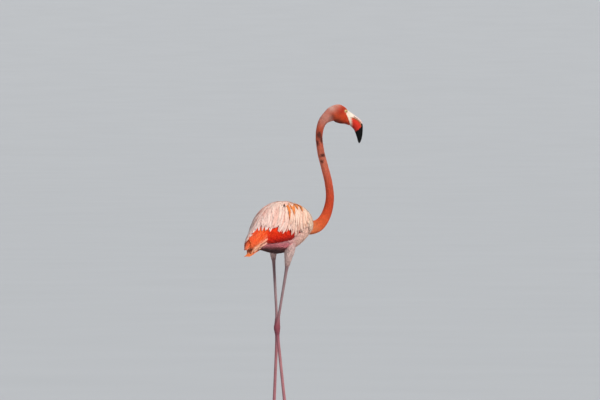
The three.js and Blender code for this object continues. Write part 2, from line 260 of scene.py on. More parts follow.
def crestPoint(t, b):
    rings = through(crest, t)
    up, left = np.cos(b)[..., None], np.sin(b)[..., None]
    points = rings[..., :3] + rings[..., 3:6] * up + rings[..., 6:9] * left
    x, _, z = np.moveaxis(toHead(points), -1, 0)
    eyeX, _, eyeZ = headShape["eye"]
    socket = headShape["socket"]
    swell = -socket["depth"] * bell(np.hypot(x - eyeX, (z - eyeZ) * 1.15), socket["start"], socket["reach"])
    for place in (headShape["cheek"], headShape["lores"]):
        lengthwise = bell(x, place["x"], place["long"])
        swell = swell + place["swell"] * lengthwise * bell(z, place["z"], place["high"])
    return points + unit(rings[..., 6:9]) * (np.sin(b) * swell)[..., None]


def slopes(form, t, b):  # how the form's point moves with t and with b, a little inside its ends
    step = 0.002
    t = np.clip(t, 2 * step, 1 - 2 * step)
    alongT = (form(t + step, b) - form(t - step, b)) / (2 * step)
    alongB = (form(t, b + step) - form(t, b - step)) / (2 * step)
    return alongT, alongB


def outward(form, t, b):
    alongT, alongB = slopes(form, t, b)
    return unit(np.cross(alongT, alongB))


def formMesh(form, tRange, stations, around, inset, tint):  # the form drawn in by inset(t, b), closed
    t = np.linspace(*tRange, stations)[:, None] + np.zeros(around)
    b = np.linspace(-np.pi, np.pi, around, endpoint=False) + np.zeros((stations, 1))
    points = form(t, b) - outward(form, t, b) * inset(t, b)[..., None]
    flat = points.reshape(-1, 3)
    return flat, facingOut(flat, tubeQuads(stations, around)), tint(t, b).reshape(-1, 3)


# colours of the plumage, the same for skin and coat
neckMarks = {
    "along": [
        (0, "f4aa86"), (0.05, "f38a56"), (0.12, "f06c38"), (0.3, "de4a28"), (0.45, "e86244"),
        (0.62, "ee8a70"), (0.74, "d86a52"), (0.84, "d2583c"), (0.92, "e69684"), (1, "f0ae9e"),
    ],
    "darkPatches": [  # place along, side in degrees, length and breadth of darker patches
        (0.80, -60, 0.026, 48), (0.765, -105, 0.028, 42), (0.745, -20, 0.020, 30), (0.66, -80, 0.014, 60),
        (0.62, -30, 0.012, 34), (0.79, 70, 0.022, 45), (0.70, 120, 0.015, 40),
    ],
    "darkPatch": "4a2426",
}
headMarks = {
    "base": "e2582f",
    "spots": [  # x, z, radius, strength, colour; the two pale ones on top of the head are painted highlight, the three dark ones along the throat are painted shade
        (34, 1058, 13, 0.95, "d83418"), (44, 1036, 15, 0.95, "ec5220"), (2, 1072, 15, 1.0, "fcc8b8"),
        (24, 1086, 13, 0.95, "fcc0ac"), (20, 1019, 11, 1.0, "46161a"), (36, 1015, 9, 0.95, "4c181a"),
        (54, 1013, 8, 0.9, "8c2e2a"), (2, 1038, 9, 0.8, "7e3e3c"),
    ],
    "face": "e2d4c0",
    "eye ring": "d5785c",
    "margin": [  # z and x of the line in front of which the face is bare
        (1005, 70), (1016.6, 65.5), (1027.5, 60), (1039.7, 55.4), (1047, 51.5), (1052, 50.5), (1056, 53.5),
        (1062, 58), (1068, 61),
    ],
}


def crestTint(t, b):
    share = t / neckEnd
    colours = ramp(share, neckMarks["along"])
    for place, side, length, breadth in neckMarks["darkPatches"]:
        away = ((share - place) / length) ** 2 + ((b - np.radians(side)) / np.radians(breadth)) ** 2
        colours = blendTo(colours, neckMarks["darkPatch"], np.exp(-away ** 1.5))
    x, _, z = np.moveaxis(toHead(crestPoint(t, b)), -1, 0)
    head = tone(headMarks["base"]) + np.zeros(x.shape + (3,))
    # among these spots are a painted highlight on the crown and painted shade along the throat
    for spotX, spotZ, radius, strength, code in headMarks["spots"]:
        head = blendTo(head, code, strength * bell(np.hypot(x - spotX, z - spotZ), 0, radius))
    return colours + (head - colours) * soft(t, neckEnd - 0.04, neckEnd + 0.07)[..., None]


def barePlaces(t, b):  # how far a place lies on the bare face, and on the bare ring round the eye
    x, _, z = np.moveaxis(toHead(crestPoint(t, b)), -1, 0)
    eyeX, _, eyeZ = headShape["eye"]
    margin = np.interp(z, *zip(*headMarks["margin"])) + 0.7 * np.sin(z * 1.3)
    ring = (1 - soft(np.hypot(x - eyeX - 0.9, z - eyeZ), 5.4, 6.3)) * (np.abs(np.sin(b)) > 0.4)
    return soft(x, margin - 0.4, margin + 0.4) * (t > neckEnd), ring * (t > neckEnd)


wingEdges = {
    "hem": [  # x and height of the lower edge of a folded wing
        (-200, 588), (-160, 598), (-134, 606), (-118, 613), (-87, 611), (-50, 613), (-12, 622), (46, 660),
        (75, 684), (98, 704), (112, 740),
    ],
    "plumes": [  # x and height where the pale plumes of the back end
        (-190, 652), (-160, 658), (-125, 662), (-100, 655), (-71, 642), (-33, 629), (-16, 626), (0, 634),
        (15, 645), (35, 657), (50, 668), (80, 690), (110, 712),
    ],
    "notches": [  # x and height of gaps in them, and how far each reaches behind and before
        (-36, 46, 26, 6), (-90, 12, 22, 5), (46, 14, 9, 4), (-6, 10, 8, 3),
    ],
}


def hemHeight(x):
    return np.interp(x, *zip(*wingEdges["hem"]))


def plumeLine(x):
    return np.interp(x, *zip(*wingEdges["plumes"]))


def plumeEdge(x):
    height = plumeLine(x)
    for middle, rise, behind, before in wingEdges["notches"]:
        height = height + rise * np.clip(1 - np.maximum((middle - x) / behind, (x - middle) / before), 0, 1)
    return height


flankMarks = {
    "along": [  # by x
        (-186, "f8a870"), (-150, "f9bc9c"), (-112, "f8c2aa"), (-84, "e8949a"), (-20, "e6a0a4"),
        (30, "f4c6b8"), (112, "f9ceb8"), (138, "f4b090"), (152, "f08a56"), (170, "f07040"),
    ],
    "belly": [  # colour, strength, and the heights between which it fades in downwards: the rose is the belly's own tone, the two dark brown-reds below it are painted shade under the body
        ("ec7884", 0.8, 620, 606), ("84302e", 0.9, 601, 591), ("40181a", 0.9, 594, 582),
    ],
}
wingMarks = {
    "red": [(0, "8c0c0e"), (8, "ae100e"), (18, "dc200c"), (44, "e8340f")],  # by the height above the hem; the dark red at the hem is painted shade, higher up the coverts' own red
    "orange": [(0, "fac0a0"), (10, "f89a58"), (28, "f45c20"), (60, "ec4a16")],  # the same, behind
    "peach": "fbc0a2",
    "under plumes": "e6c4b8",
}


def flankTint(t, b):
    x, _, z = np.moveaxis(bodyPoint(t, b), -1, 0)
    colours = ramp(x, flankMarks["along"])
    belly = soft(x, -150, -128) * (1 - soft(x, 0, 60))
    # the belly is painted darker downwards: its rose tone, then painted shade underneath
    for code, strength, top, bottom in flankMarks["belly"]:
        colours = blendTo(colours, code, strength * soft(-z, -top, -bottom) * belly)
    return colours


def wingTint(t, b):
    x, _, z = np.moveaxis(bodyPoint(t, b), -1, 0)
    above = z - hemHeight(x)
    # the darker red low down is painted shade along the wing's lower edge
    colours = ramp(above, wingMarks["red"])
    orange = ramp(above, wingMarks["orange"])
    colours = colours + (orange - colours) * (1 - soft(x, -128, -106))[..., None]
    peach = bell(x, -122, 17) * (1 - soft(above, 7, 17))
    colours = blendTo(colours, wingMarks["peach"], 0.9 * peach)
    hidden = z - plumeLine(x) + 28 * soft(x, 20, 50)
    pale = np.maximum(soft(hidden, 42, 54) * (x > -150), soft(x, 50, 62))
    return blendTo(colours, wingMarks["under plumes"], pale)


def bodyTint(t, b):
    x, _, z = np.moveaxis(bodyPoint(t, b), -1, 0)
    return np.where((z > hemHeight(x))[..., None], wingTint(t, b), flankTint(t, b))


def wiring(tree):  # helpers that add a node, with its inputs linked or set, and a math node
    def add(kind, inputs=None, **fields):
        node = tree.nodes.new(kind)
        for key, value in fields.items():
            setattr(node, key, value)
        for socket, value in (inputs or {}).items():
            if isinstance(value, bpy.types.NodeSocket):
                tree.links.new(value, node.inputs[socket])
            else:
                node.inputs[socket].default_value = value
        return node

    def maths(operation, a, b=0.0, c=0.0):
        return add("ShaderNodeMath", {0: a, 1: b, 2: c}, operation=operation).outputs[0]

    return add, maths


def shader(name, settings):  # a Principled material, its wiring, and what plugs an output into its surface
    material = bpy.data.materials.new(name)
    material.use_nodes = True
    surface = material.node_tree.nodes["Principled BSDF"]
    for socket, value in settings.items():
        surface.inputs[socket].default_value = value

    def plug(output, socket):
        material.node_tree.links.new(output, surface.inputs[socket])

    return (material, plug) + wiring(material.node_tree)


def tinted(plug, add, shade, height, strength, distance):  # the mesh's tint times shade, and a bump
    tint = add("ShaderNodeAttribute", attribute_name="tint").outputs["Color"]
    plug(add("ShaderNodeVectorMath", {0: tint, 3: shade}, operation="SCALE").outputs[0], "Base Color")
    bump = add("ShaderNodeBump", {"Strength": strength, "Distance": distance, "Height": height})
    plug(bump.outputs["Normal"], "Normal")


def noise(add, place, scale, detail):
    return add("ShaderNodeTexNoise", {"Vector": place, "Scale": scale, "Detail": detail}).outputs["Fac"]


featherFinish = {"Roughness": 0.85, "Specular IOR Level": 0.12, "Sheen Weight": 0.05, "Sheen Roughness": 0.5}
skinFinish = {"Roughness": 0.5, "Specular IOR Level": 0.35}
hornFinish = {"Specular IOR Level": 0.15, "Coat Weight": 0.02, "Coat Roughness": 0.3}
eyeFinish = {"Roughness": 0.1, "Specular IOR Level": 0.6, "Coat Weight": 1.0, "Coat Roughness": 0.02}
floorFinish = {"Roughness": 0.9, "Specular IOR Level": 0.1}


def featherMaterial(name, barbs, relief):  # barbs slant off a paler shaft; down and wear vary the tint
    material, plug, add, maths = shader(name, featherFinish)
    vane = add("ShaderNodeUVMap", uv_map="vane").outputs["UV"]
    split = add("ShaderNodeSeparateXYZ", {0: vane})
    offCentre = maths("ABSOLUTE", maths("SUBTRACT", split.outputs["X"], 0.5))
    slant = maths("MULTIPLY_ADD", offCentre, -0.9, split.outputs["Y"])
    comb = maths("SINE", maths("MULTIPLY", slant, barbs * 2 * np.pi))
    place = add("ShaderNodeTexCoord").outputs["Object"]
    shade = maths("MULTIPLY_ADD", noise(add, place, 60.0, 3.0), 0.30, 0.80)
    shade = maths("MULTIPLY_ADD", noise(add, place, 420.0, 2.0), 0.12, shade)
    shade = maths("MULTIPLY_ADD", comb, 0.025, shade)
    shaft = maths("MULTIPLY", maths("LESS_THAN", offCentre, 0.05), 0.06)
    height = maths("MULTIPLY_ADD", comb, 0.5, noise(add, place, 1400.0, 2.0))
    tinted(plug, add, maths("ADD", shade, shaft), height, relief, 0.0003)
    return material


def skinMaterial():  # bare skin: small scales where it is scaly, fine creases elsewhere
    material, plug, add, maths = shader("bareSkin", skinFinish)
    place = add("ShaderNodeTexCoord").outputs["Object"]
    scaly = add("ShaderNodeAttribute", attribute_name="scaly").outputs["Fac"]
    cells = add("ShaderNodeTexVoronoi", {"Vector": place, "Scale": 640.0}, feature="DISTANCE_TO_EDGE")
    edges = {0: cells.outputs["Distance"], 2: 0.2}
    groove = add("ShaderNodeMapRange", edges, interpolation_type="SMOOTHSTEP").outputs[0]
    shade = maths("MULTIPLY_ADD", noise(add, place, 70.0, 5.0), 0.5, 0.74)
    dark = maths("MULTIPLY", maths("SUBTRACT", 1.0, groove), maths("MULTIPLY", scaly, 0.16))
    creases = noise(add, place, 520.0, 5.0)
    height = maths("MULTIPLY_ADD", creases, 0.5, maths("MULTIPLY", groove, scaly))
    tinted(plug, add, maths("SUBTRACT", shade, dark), height, 0.5, 0.0003)
    return material


def hornMaterial():  # bill, its comb and claws: smooth horn with faint growth lines and worn specks
    material, plug, add, maths = shader("horn", hornFinish)
    place = add("ShaderNodeTexCoord").outputs["Object"]
    patch = noise(add, place, 150.0, 6.0)
    plug(maths("MULTIPLY_ADD", patch, 0.3, 0.26), "Roughness")
    lines = add("ShaderNodeTexWave", {"Vector": place, "Scale": 120.0, "Distortion": 4.0, "Detail": 3.0})
    height = maths("MULTIPLY_ADD", lines.outputs["Fac"], 0.4, noise(add, place, 1500.0, 2.0))
    tinted(plug, add, maths("MULTIPLY_ADD", patch, 0.4, 0.78), height, 0.2, 0.0003)
    return material


def eyeMaterial():  # wet and glossy, with a flecked iris
    material, plug, add, maths = shader("eye", eyeFinish)
    place = add("ShaderNodeTexCoord").outputs["Object"]
    flecks = noise(add, place, 2200.0, 3.0)
    tinted(plug, add, maths("MULTIPLY_ADD", flecks, 0.5, 0.72), flecks, 0.03, 0.0001)
    return material


def floorMaterial():
    material, plug, add, maths = shader("paleFloor", floorFinish)
    place = add("ShaderNodeTexCoord").outputs["Object"]
    shade = maths("MULTIPLY_ADD", noise(add, place, 1.2, 5.0), 0.04, 0.50)
    grey = {0: shade, 1: maths("MULTIPLY", shade, 1.03), 2: maths("MULTIPLY", shade, 1.07)}
    plug(add("ShaderNodeCombineColor", grey).outputs[0], "Base Color")
    return material


bareSkin = skinMaterial()
horn = hornMaterial()
wetEye = eyeMaterial()
smallFeather = featherMaterial("smallFeather", 5, 0.25)
bodyFeather = featherMaterial("bodyFeather", 14, 0.35)
longFeather = featherMaterial("longFeather", 46, 0.4)
print("materials are made")

# feathers are thin closed vanes laid along the forms
sections = {  # side and height round a vane, from its right edge over the shaft to the left and back under
    "blade": [(1, 0), (0, 1), (-1, 0), (0, -0.5)],
    "vane": [(1, 0), (0.55, 0.75), (0, 1), (-0.55, 0.75), (-1, 0), (0, -0.4)],
}
outlines = {  # half width along a vane, from quill to tip, as shares of the widest
    "hair": [0.6, 1, 0.85, 0.15],
    "contour": [0.4, 0.85, 1, 1, 0.85, 0.5, 0.12],
    "plume": [0.35, 0.7, 0.92, 1, 1, 0.9, 0.7, 0.42, 0.06],
    "quill": [0.3, 0.8, 1, 1, 1, 0.95, 0.8, 0.25],
    "barb": [0.55, 1, 0.95, 0.7, 0.08],
}
patchSize = 0.003  # what one vane covers of the bake's square


def vaneBatch(centre, normal, half, style, rootTint, tipTint, rootUv):  # half holds right and left widths
    count, stations = centre.shape[:2]
    across, height = np.array(sections[style["section"]]).T
    along = np.linspace(0, 1, stations)
    side = unit(np.cross(normal, np.gradient(centre, axis=1)))
    reach = np.where(across > 0, half[..., :1], half[..., 1:]) * across
    rise = style["thick"] * height - style.get("droop", 0.12) * np.abs(reach * across)
    points = centre[:, :, None] + side[:, :, None] * reach[..., None] + normal[:, :, None] * rise[..., None]
    tint = rootTint[:, None] + (tipTint - rootTint)[:, None] * along[:, None] ** 1.3
    # painted light and shade: each vane's long edges are painted a little paler and its underside a little
    # darker
    tint = tint[:, :, None] * (0.97 + 0.05 * np.abs(across) - 0.06 * (height < 0))[:, None]
    quads = tubeQuads(stations, len(across))
    place = quads % len(across)
    vane = np.stack([0.5 + 0.5 * across[place], along[quads // len(across)]], -1)
    caps = slice((stations - 1) * len(across), None)
    vane[caps, :, 1] += 0.05 * height[place[caps]]  # so that the ends have a size on the map too
    border = np.where(across == 1, 1, np.where(across == -1, 2, 0)) * style.get("crisp", True)
    return {
        "points": points.reshape(-1, 3),
        "quads": tubeQuads(stations, len(across), count),
        "tint": tint.reshape(-1, 3),
        "vane": np.broadcast_to(vane, (count,) + vane.shape).reshape(-1, 2),
        "bake": (rootUv[:, None, None] + patchSize * (vane - 0.5)).reshape(-1, 2),
        "border": np.tile(border, count * stations),
    }


def coatPiece(name, batches, material):
    points, quads, tint = joined([(batch["points"], batch["quads"], batch["tint"]) for batch in batches])
    piece = meshPiece(name, points, quads, tint, material)
    for layerName, key in (("vane", "vane"), ("OFBake", "bake")):
        layer = piece.data.uv_layers.new(name=layerName)
        values = np.concatenate([batch[key] for batch in batches])
        layer.data.foreach_set("uv", values.ravel().astype(np.float32))
    border = np.concatenate([batch["border"] for batch in batches])
    ends = np.empty(len(piece.data.edges) * 2, np.int32)
    piece.data.edges.foreach_get("vertices", ends)
    first, second = border[ends.reshape(-1, 2)].T
    sharp = piece.data.attributes.new("sharp_edge", "BOOLEAN", "EDGE")  # a vane's two long edges stay crisp
    sharp.data.foreach_set("value", (first == second) & (first > 0))
    finishPiece(piece)


def rootsOn(form, tRange, rowStep, columnStep, random, bRange=(-np.pi, np.pi)):  # staggered rows of places
    fine = np.linspace(*tRange, 400)
    lines = form(fine[:, None], np.array([0, np.pi / 2, np.pi]) + 0 * fine[:, None])
    steps = np.linalg.norm(np.diff(lines, axis=0), axis=2).max(1)
    gone = np.concatenate([[0], np.cumsum(steps)])
    rows = np.interp(np.arange(rowStep / 2, gone[-1], rowStep), gone, fine)
    rowHalf = 0.5 * np.gradient(rows)
    places = []
    for i, t in enumerate(rows):
        angles = np.linspace(*bRange, 97)
        ring = form(np.full(97, t), angles)
        length = lengthsAlong(ring)
        columns = max(int(round(length[-1] / columnStep)), 1)
        share = (np.arange(columns) + 0.5 * (i % 2) + 0.25 + random.uniform(-0.3, 0.3, columns)) / columns
        b = np.interp(share * length[-1], length, angles)
        places.append(np.stack([t + random.uniform(-0.7, 0.7, columns) * rowHalf[i], b], -1))
    t, b = np.concatenate(places).T
    return np.clip(t, 0.002, 0.998), b


def walkOn(form, t, b, length, flow, stations):  # lines along the form; flow gives (with t, with b)
    ts, bs = [t], [b]
    for _ in range(stations - 1):
        alongT, alongB = slopes(form, ts[-1], bs[-1])
        withT, withB = flow(ts[-1], bs[-1])
        step = length / (stations - 1)
        ts.append(ts[-1] + withT * step / np.maximum(np.linalg.norm(alongT, axis=-1), 1))
        bs.append(bs[-1] + withB * step / np.maximum(np.linalg.norm(alongB, axis=-1), 1))
    return np.clip(np.stack(ts, 1), 0, 1), np.stack(bs, 1)


def slanting(downward):  # a flow back along the form, turned down by downward(t, b), a sine
    def flow(t, b):
        down = downward(t, b)
        return -np.sqrt(1 - down ** 2), down
    return flow


def towards(form, target):  # a flow over the form to one place
    def flow(t, b):
        alongT, alongB = slopes(form, t, b)
        pull = np.array(target, float) - form(t, b)
        withT, withB = np.sum(pull * unit(alongT), -1), np.sum(pull * unit(alongB), -1)
        size = np.maximum(np.hypot(withT, withB), 1e-6)
        return withT / size, withB / size
    return flow


def unwrapped(t, b):  # place on the bake's square
    return np.stack([0.5 + b / (2 * np.pi) * 0.9, 0.03 + t * 0.94], -1)


def liftedLine(form, ts, bs, style, random):  # centre lines and normals of vanes that rise from root to tip
    along = np.linspace(0, 1, ts.shape[1])
    normal = outward(form, ts, bs)
    low, high = style["lift"]
    stray = style.get("loose", 0.2) * random.uniform(-1, 1, (len(ts), 1))
    lift = low + (high - low) * (along + stray * along)
    lift = lift - style.get("sunk", 0) * (1 - soft(along, 0, 0.3))
    if "liftAt" in style:
        lift = lift + style["liftAt"](ts, bs)
    return form(ts, bs) + normal * lift[..., None], normal


def tipTints(rootTint, style, random):
    code, share = style.get("tip", ("ffffff", 0))
    return blendTo(rootTint, code, share * random.uniform(0.6, 1.3, len(rootTint)))


def layVanes(form, t, b, style, flow, tintOf, random):  # vanes of one style at roots (t, b)
    count, stations = len(t), style["stations"]
    length = style["length"] * random.uniform(1 - style["vary"], 1 + style["vary"], count)
    if "lengthAt" in style:
        length = style["lengthAt"](t, b, length)
    sway = random.normal(0, style["sway"], count)

    def swayed(atT, atB):
        withT, withB = flow(atT, atB)
        return withT * np.cos(sway) - withB * np.sin(sway), withT * np.sin(sway) + withB * np.cos(sway)

    ts, bs = walkOn(form, t, b, length, swayed, stations)
    centre, normal = liftedLine(form, ts, bs, style, random)
    along = np.linspace(0, 1, stations)[:, None]
    shape = through(outlines[style["outline"]], along)
    shape = shape * (1 + style["ragged"] * (0.3 + along) * random.uniform(-1, 1, (count, stations, 2)))
    half = style["width"] / 2 * random.uniform(0.88, 1.12, (count, 1, 1)) * shape
    if "widthAt" in style:
        half = half * style["widthAt"](t, b)[:, None, None]
    rootTint = tintOf(t, b) * random.uniform(1 - style["shade"], 1 + style["shade"], (count, 1))
    tipTint = tipTints(rootTint, style, random)
    return vaneBatch(centre, normal, half, style, rootTint, tipTint, unwrapped(t, b))


def barbedVanes(centre, normal, style, rootTint, random, uv):  # feathers of loose barbs beside a fine shaft
    count, fine = centre.shape[:2]
    bundles = 2 * style["barbs"]
    side = unit(np.cross(normal, np.gradient(centre, axis=1)))
    number = np.arange(bundles)
    start = number // 2 + 0.5 * (number % 2) + random.uniform(-0.35, 0.35, (count, bundles))
    start = np.clip(start / style["barbs"], 0, 1) * style["lastBarb"]
    run = np.minimum(style["barbRun"] * random.uniform(0.75, 1.25, start.shape), 1 - start)
    tau = np.linspace(0, 1, style["barbStations"])
    s = start[..., None] + run[..., None] * tau
    hand = np.where(number % 2, 1, -1)[:, None]
    spread = tau ** 0.8 * hand * random.uniform(0.6, 1.05, start.shape)[..., None]
    reach = style["width"] / 2 * through(outlines[style["outline"]], s) * spread
    i = np.clip((s * (fine - 1)).astype(int), 0, fine - 2)
    f = (s * (fine - 1) - i)[..., None]
    row = np.arange(count)[:, None, None]

    def at(values):
        return values[row, i] * (1 - f) + values[row, i + 1] * f

    face = unit(at(normal))
    stray = random.uniform(-1, 1, start.shape)[..., None] * style["loose"]
    height = stray * tau - style["sag"] * np.abs(reach)
    path = at(centre) + at(side) * reach[..., None] + face * height[..., None]
    flat = (count * bundles, len(tau), 3)
    tip = tipTints(rootTint, style, random)
    change = (tip - rootTint)[:, None]
    shade = random.uniform(1 - style["shade"], 1 + style["shade"], start.shape)[..., None]
    startTint = (rootTint[:, None] + change * start[..., None] ** 1.3) * shade
    endTint = (rootTint[:, None] + change * (start + run)[..., None] ** 1.3) * shade
    barbHalf = style["barbWidth"] / 2 * through(outlines["barb"], tau)[:, None]
    half = barbHalf * np.ones((count * bundles, 1, 2))
    blade = {"section": "blade", "thick": style["thick"], "droop": 0.1}
    rootUv = at(uv)[:, :, 0].reshape(-1, 2)
    barbs = vaneBatch(path.reshape(flat), face.reshape(flat), half, blade,
                      startTint.reshape(-1, 3), endTint.reshape(-1, 3), rootUv)
    quill = through([1, 0.8, 0.6, 0.4, 0.15], np.linspace(0, 1, fine))[:, None] * np.ones((count, 1, 2))
    shaft = vaneBatch(centre + normal * style["thick"] * 0.8, normal, style["shaft"] / 2 * quill, blade,
                      rootTint, tip, uv[:, 0])
    return [barbs, shaft]


# neck and head: short, dense, velvety feathers that point away from the bill
neckCoat = {
    "row": 3.35, "column": 1.92, "seed": 11,
    "pieces": {"neckCoatLower": (0, 0.36), "neckCoatUpper": (0.36, 0.685)},  # where each starts and ends
    "drawnIn": 4.2,
    "style": {
        "section": "blade", "outline": "hair", "stations": 4, "length": 10.5, "vary": 0.2, "width": 2.3,
        "lift": (-1.3, 0.25), "thick": 0.2, "sway": 0.16, "shade": 0.14, "ragged": 0.1,
        "tip": ("ee8258", 0.18), "crisp": False,
    },
}
headCoat = {
    "row": 1.93, "column": 1.37, "seed": 12, "reach": (0.675, 1),
    "style": {
        "section": "blade", "outline": "hair", "stations": 4, "length": 5.2, "vary": 0.2, "width": 1.6,
        "lift": (-0.9, 0.2), "thick": 0.14, "sway": 0.16, "shade": 0.13, "ragged": 0.1,
        "tip": ("ee9272", 0.14), "crisp": False,
    },
}
straightBack = slanting(lambda t, b: 0.0 * b)


def underNeck(t, b):  # 1 below the place where the neck leaves the breast
    return (1 - soft(t, 0, 0.045)) * (0.5 - 0.5 * np.cos(b))


def makeNeckCoat():
    random = np.random.default_rng(neckCoat["seed"])
    style = dict(
        neckCoat["style"],
        lengthAt=lambda t, b, length: length * (1 - 0.35 * soft(t, 0.58, 0.7)),
        liftAt=lambda t, b: -neckCoat["drawnIn"] * underNeck(t, b),
    )
    for name, tRange in neckCoat["pieces"].items():
        t, b = rootsOn(crestPoint, tRange, neckCoat["row"], neckCoat["column"], random)
        batch = layVanes(crestPoint, t, b, style, straightBack, crestTint, random)
        coatPiece(name, [batch], smallFeather)


def makeHeadCoat():
    random = np.random.default_rng(headCoat["seed"])
    t, b = rootsOn(crestPoint, headCoat["reach"], headCoat["row"], headCoat["column"], random)
    feathered = np.maximum(*barePlaces(t, b)) < 0.5
    style = dict(
        headCoat["style"],
        lengthAt=lambda t, b, length: length * (1.25 - 0.6 * soft(t, 0.7, 0.93)),
        widthAt=lambda t, b: 1.05 - 0.45 * soft(t, 0.72, 0.9),
        liftAt=lambda t, b: 0.25 * soft(t, 0.8, 0.95),
    )
    flow = slanting(lambda t, b: 0.3 * np.sin(b) * soft(t, neckEnd + 0.05, 0.9))
    batch = layVanes(crestPoint, t[feathered], b[feathered], style, flow, crestTint, random)
    coatPiece("headCoat", [batch], smallFeather)


# breast, belly, flanks and vent: soft feathers below and in front of the wings
breastCoat = {
    "row": 5.2, "column": 2.95, "seed": 21, "reach": (0.07, 1),
    "tuckedUnderWing": 12, "front": 88, "end": 163, "raised": 5.2,
    "style": {
        "section": "blade", "outline": "contour", "stations": 5, "length": 21, "vary": 0.2, "width": 4.0,
        "lift": (-7.0, -4.2), "thick": 0.3, "sway": 0.2, "shade": 0.07, "ragged": 0.15, "loose": 0.45,
        "tip": ("f6dcd4", 0.12), "crisp": False,
    },
}
bodyFlow = slanting(lambda t, b: 0.42 * np.sin(b))


def nearNeck(t):  # 0 on the body, 1 where the body's form has become the neck's
    return soft(through(bodyShape["rows"], t)[..., 0], 100, 158)


def makeBreastCoat():
    random = np.random.default_rng(breastCoat["seed"])
    t, b = rootsOn(bodyPoint, breastCoat["reach"], breastCoat["row"], breastCoat["column"], random)
    x, _, z = bodyPoint(t, b).T
    below = z < hemHeight(x) + breastCoat["tuckedUnderWing"]
    keep = (below | (x > breastCoat["front"])) & (x < breastCoat["end"])
    style = dict(
        breastCoat["style"],
        lengthAt=lambda t, b, length: np.minimum(length * (1 - 0.45 * nearNeck(t)), 14 + 200 * t),
        widthAt=lambda t, b: 1 - 0.35 * nearNeck(t),
        liftAt=lambda t, b: breastCoat["raised"] * nearNeck(t),
    )
    batch = layVanes(bodyPoint, t[keep], b[keep], style, bodyFlow, flankTint, random)
    coatPiece("breastCoat", [batch], bodyFeather)


# wing coverts: the red feathers that show between the plumes and the hem of each folded wing
wingCoat = {
    "row": 7.7, "column": 6.2, "seed": 31, "reach": (0.06, 0.93),
    "front": 92, "underPlumes": 20, "pathPoints": 8, "length": 27,
    "style": {
        "width": 10.5, "outline": "contour", "barbs": 5, "barbRun": 0.42, "lastBarb": 0.72, "barbWidth": 2.5,
        "barbStations": 4, "thick": 0.22, "shaft": 0.9, "loose": 0.35, "sag": 0.08, "shade": 0.1,
        "tip": ("ee4a26", 0.2), "lift": (-4.4, -1.6),
    },
}
wingFlow = slanting(lambda t, b: 0.5 * np.sign(b) * (1 - soft(np.abs(b), 1.3, 2.0)))


def makeWingCoat(name, side):
    random = np.random.default_rng(wingCoat["seed"] + side)
    t, b = rootsOn(bodyPoint, wingCoat["reach"], wingCoat["row"], wingCoat["column"], random)
    x, _, z = bodyPoint(t, b).T
    showing = (z > hemHeight(x) + 2) & (z < plumeEdge(x) + wingCoat["underPlumes"])
    keep = showing & (np.sign(b) == side) & (x < wingCoat["front"])
    t, b, x = t[keep], b[keep], x[keep]
    length = np.minimum(wingCoat["length"] * random.uniform(0.85, 1.15, len(t)), 8 + 0.8 * (x + 180))
    ts, bs = walkOn(bodyPoint, t, b, length, wingFlow, wingCoat["pathPoints"])
    centre, normal = liftedLine(bodyPoint, ts, bs, wingCoat["style"], random)
    colours = wingTint(t, b) * random.uniform(0.9, 1.1, (len(t), 1))
    batches = barbedVanes(centre, normal, wingCoat["style"], colours, random, unwrapped(ts, bs))
    coatPiece(f"wingCoat_{name}", batches, longFeather)


# pale plumes: long, pointed, hanging from the back over the wings and ending in a jagged edge
plumes = {
    "seed": 41, "step": 7.8, "shortest": 30, "jagged": 8,
    "rows": [  # angle of the roots from the middle line, front and rear x, longest, lift
        {"b": 77, "x": (88, -30), "longest": 52, "lift": (-3.4, -0.4)},
        {"b": 60, "x": (96, -60), "longest": 74, "lift": (-2.9, 0.0)},
        {"b": 44, "x": (100, -84), "longest": 98, "lift": (-2.4, 0.4)},
        {"b": 29, "x": (104, -104), "longest": 118, "lift": (-1.9, 1.4)},
        {"b": 17, "x": (104, -122), "longest": 136, "lift": (-1.4, 2.1)},
        {"b": 7, "x": (100, -136), "longest": 120, "lift": (-1.1, 2.4)},
        {"b": 1.5, "x": (98, -144), "longest": 90, "lift": (-1.0, 2.4)},
    ],
    "inner": {"b": 12, "x": (-86, -144), "longest": 76, "lift": (-1.0, 1.9)},
    "style": {
        "width": 13, "outline": "plume", "barbs": 12, "barbRun": 0.26, "lastBarb": 0.86, "barbWidth": 2.3,
        "barbStations": 5, "thick": 0.2, "shaft": 1.0, "loose": 0.35, "sag": 0.06, "shade": 0.06,
        "tip": ("f4cfc4", 0.35),
    },
    "steps": 60, "pathPoints": 16,
    "hangOver": 42,  # how far the left wing's inner plumes hang past its edge behind
    "colours": [  # by x
        (-150, "ecd0d6"), (-80, "f4deda"), (-30, "e8c8be"), (10, "e2baa6"), (60, "eac8a8"), (110, "eec6a2"),
    ],
    "ridge": "f6ded4",
    "cream": "f6e4d6",
    "rose": "dc8a76",
    "mottle": "e08a48",
    "blush": "e88a70",
}


def plumeDown(t, b):  # steep on the shoulder, where the plumes hang, flatter behind and on the middle line
    x = through(bodyShape["rows"], t)[..., 0]
    away = np.abs(b)
    angle = 3 + 41 * soft(away, 0.02, 0.7) + 14 * soft(x, -110, 20) * soft(away, 0.2, 0.8)
    angle = angle + 30 * soft(away, 1.0, 1.6) * soft(x, -80, 10)
    angle = angle - 8 * (1 - soft(x, -130, -70)) * soft(away, 0.5, 1)
    return np.sign(b) * np.sin(np.radians(angle))


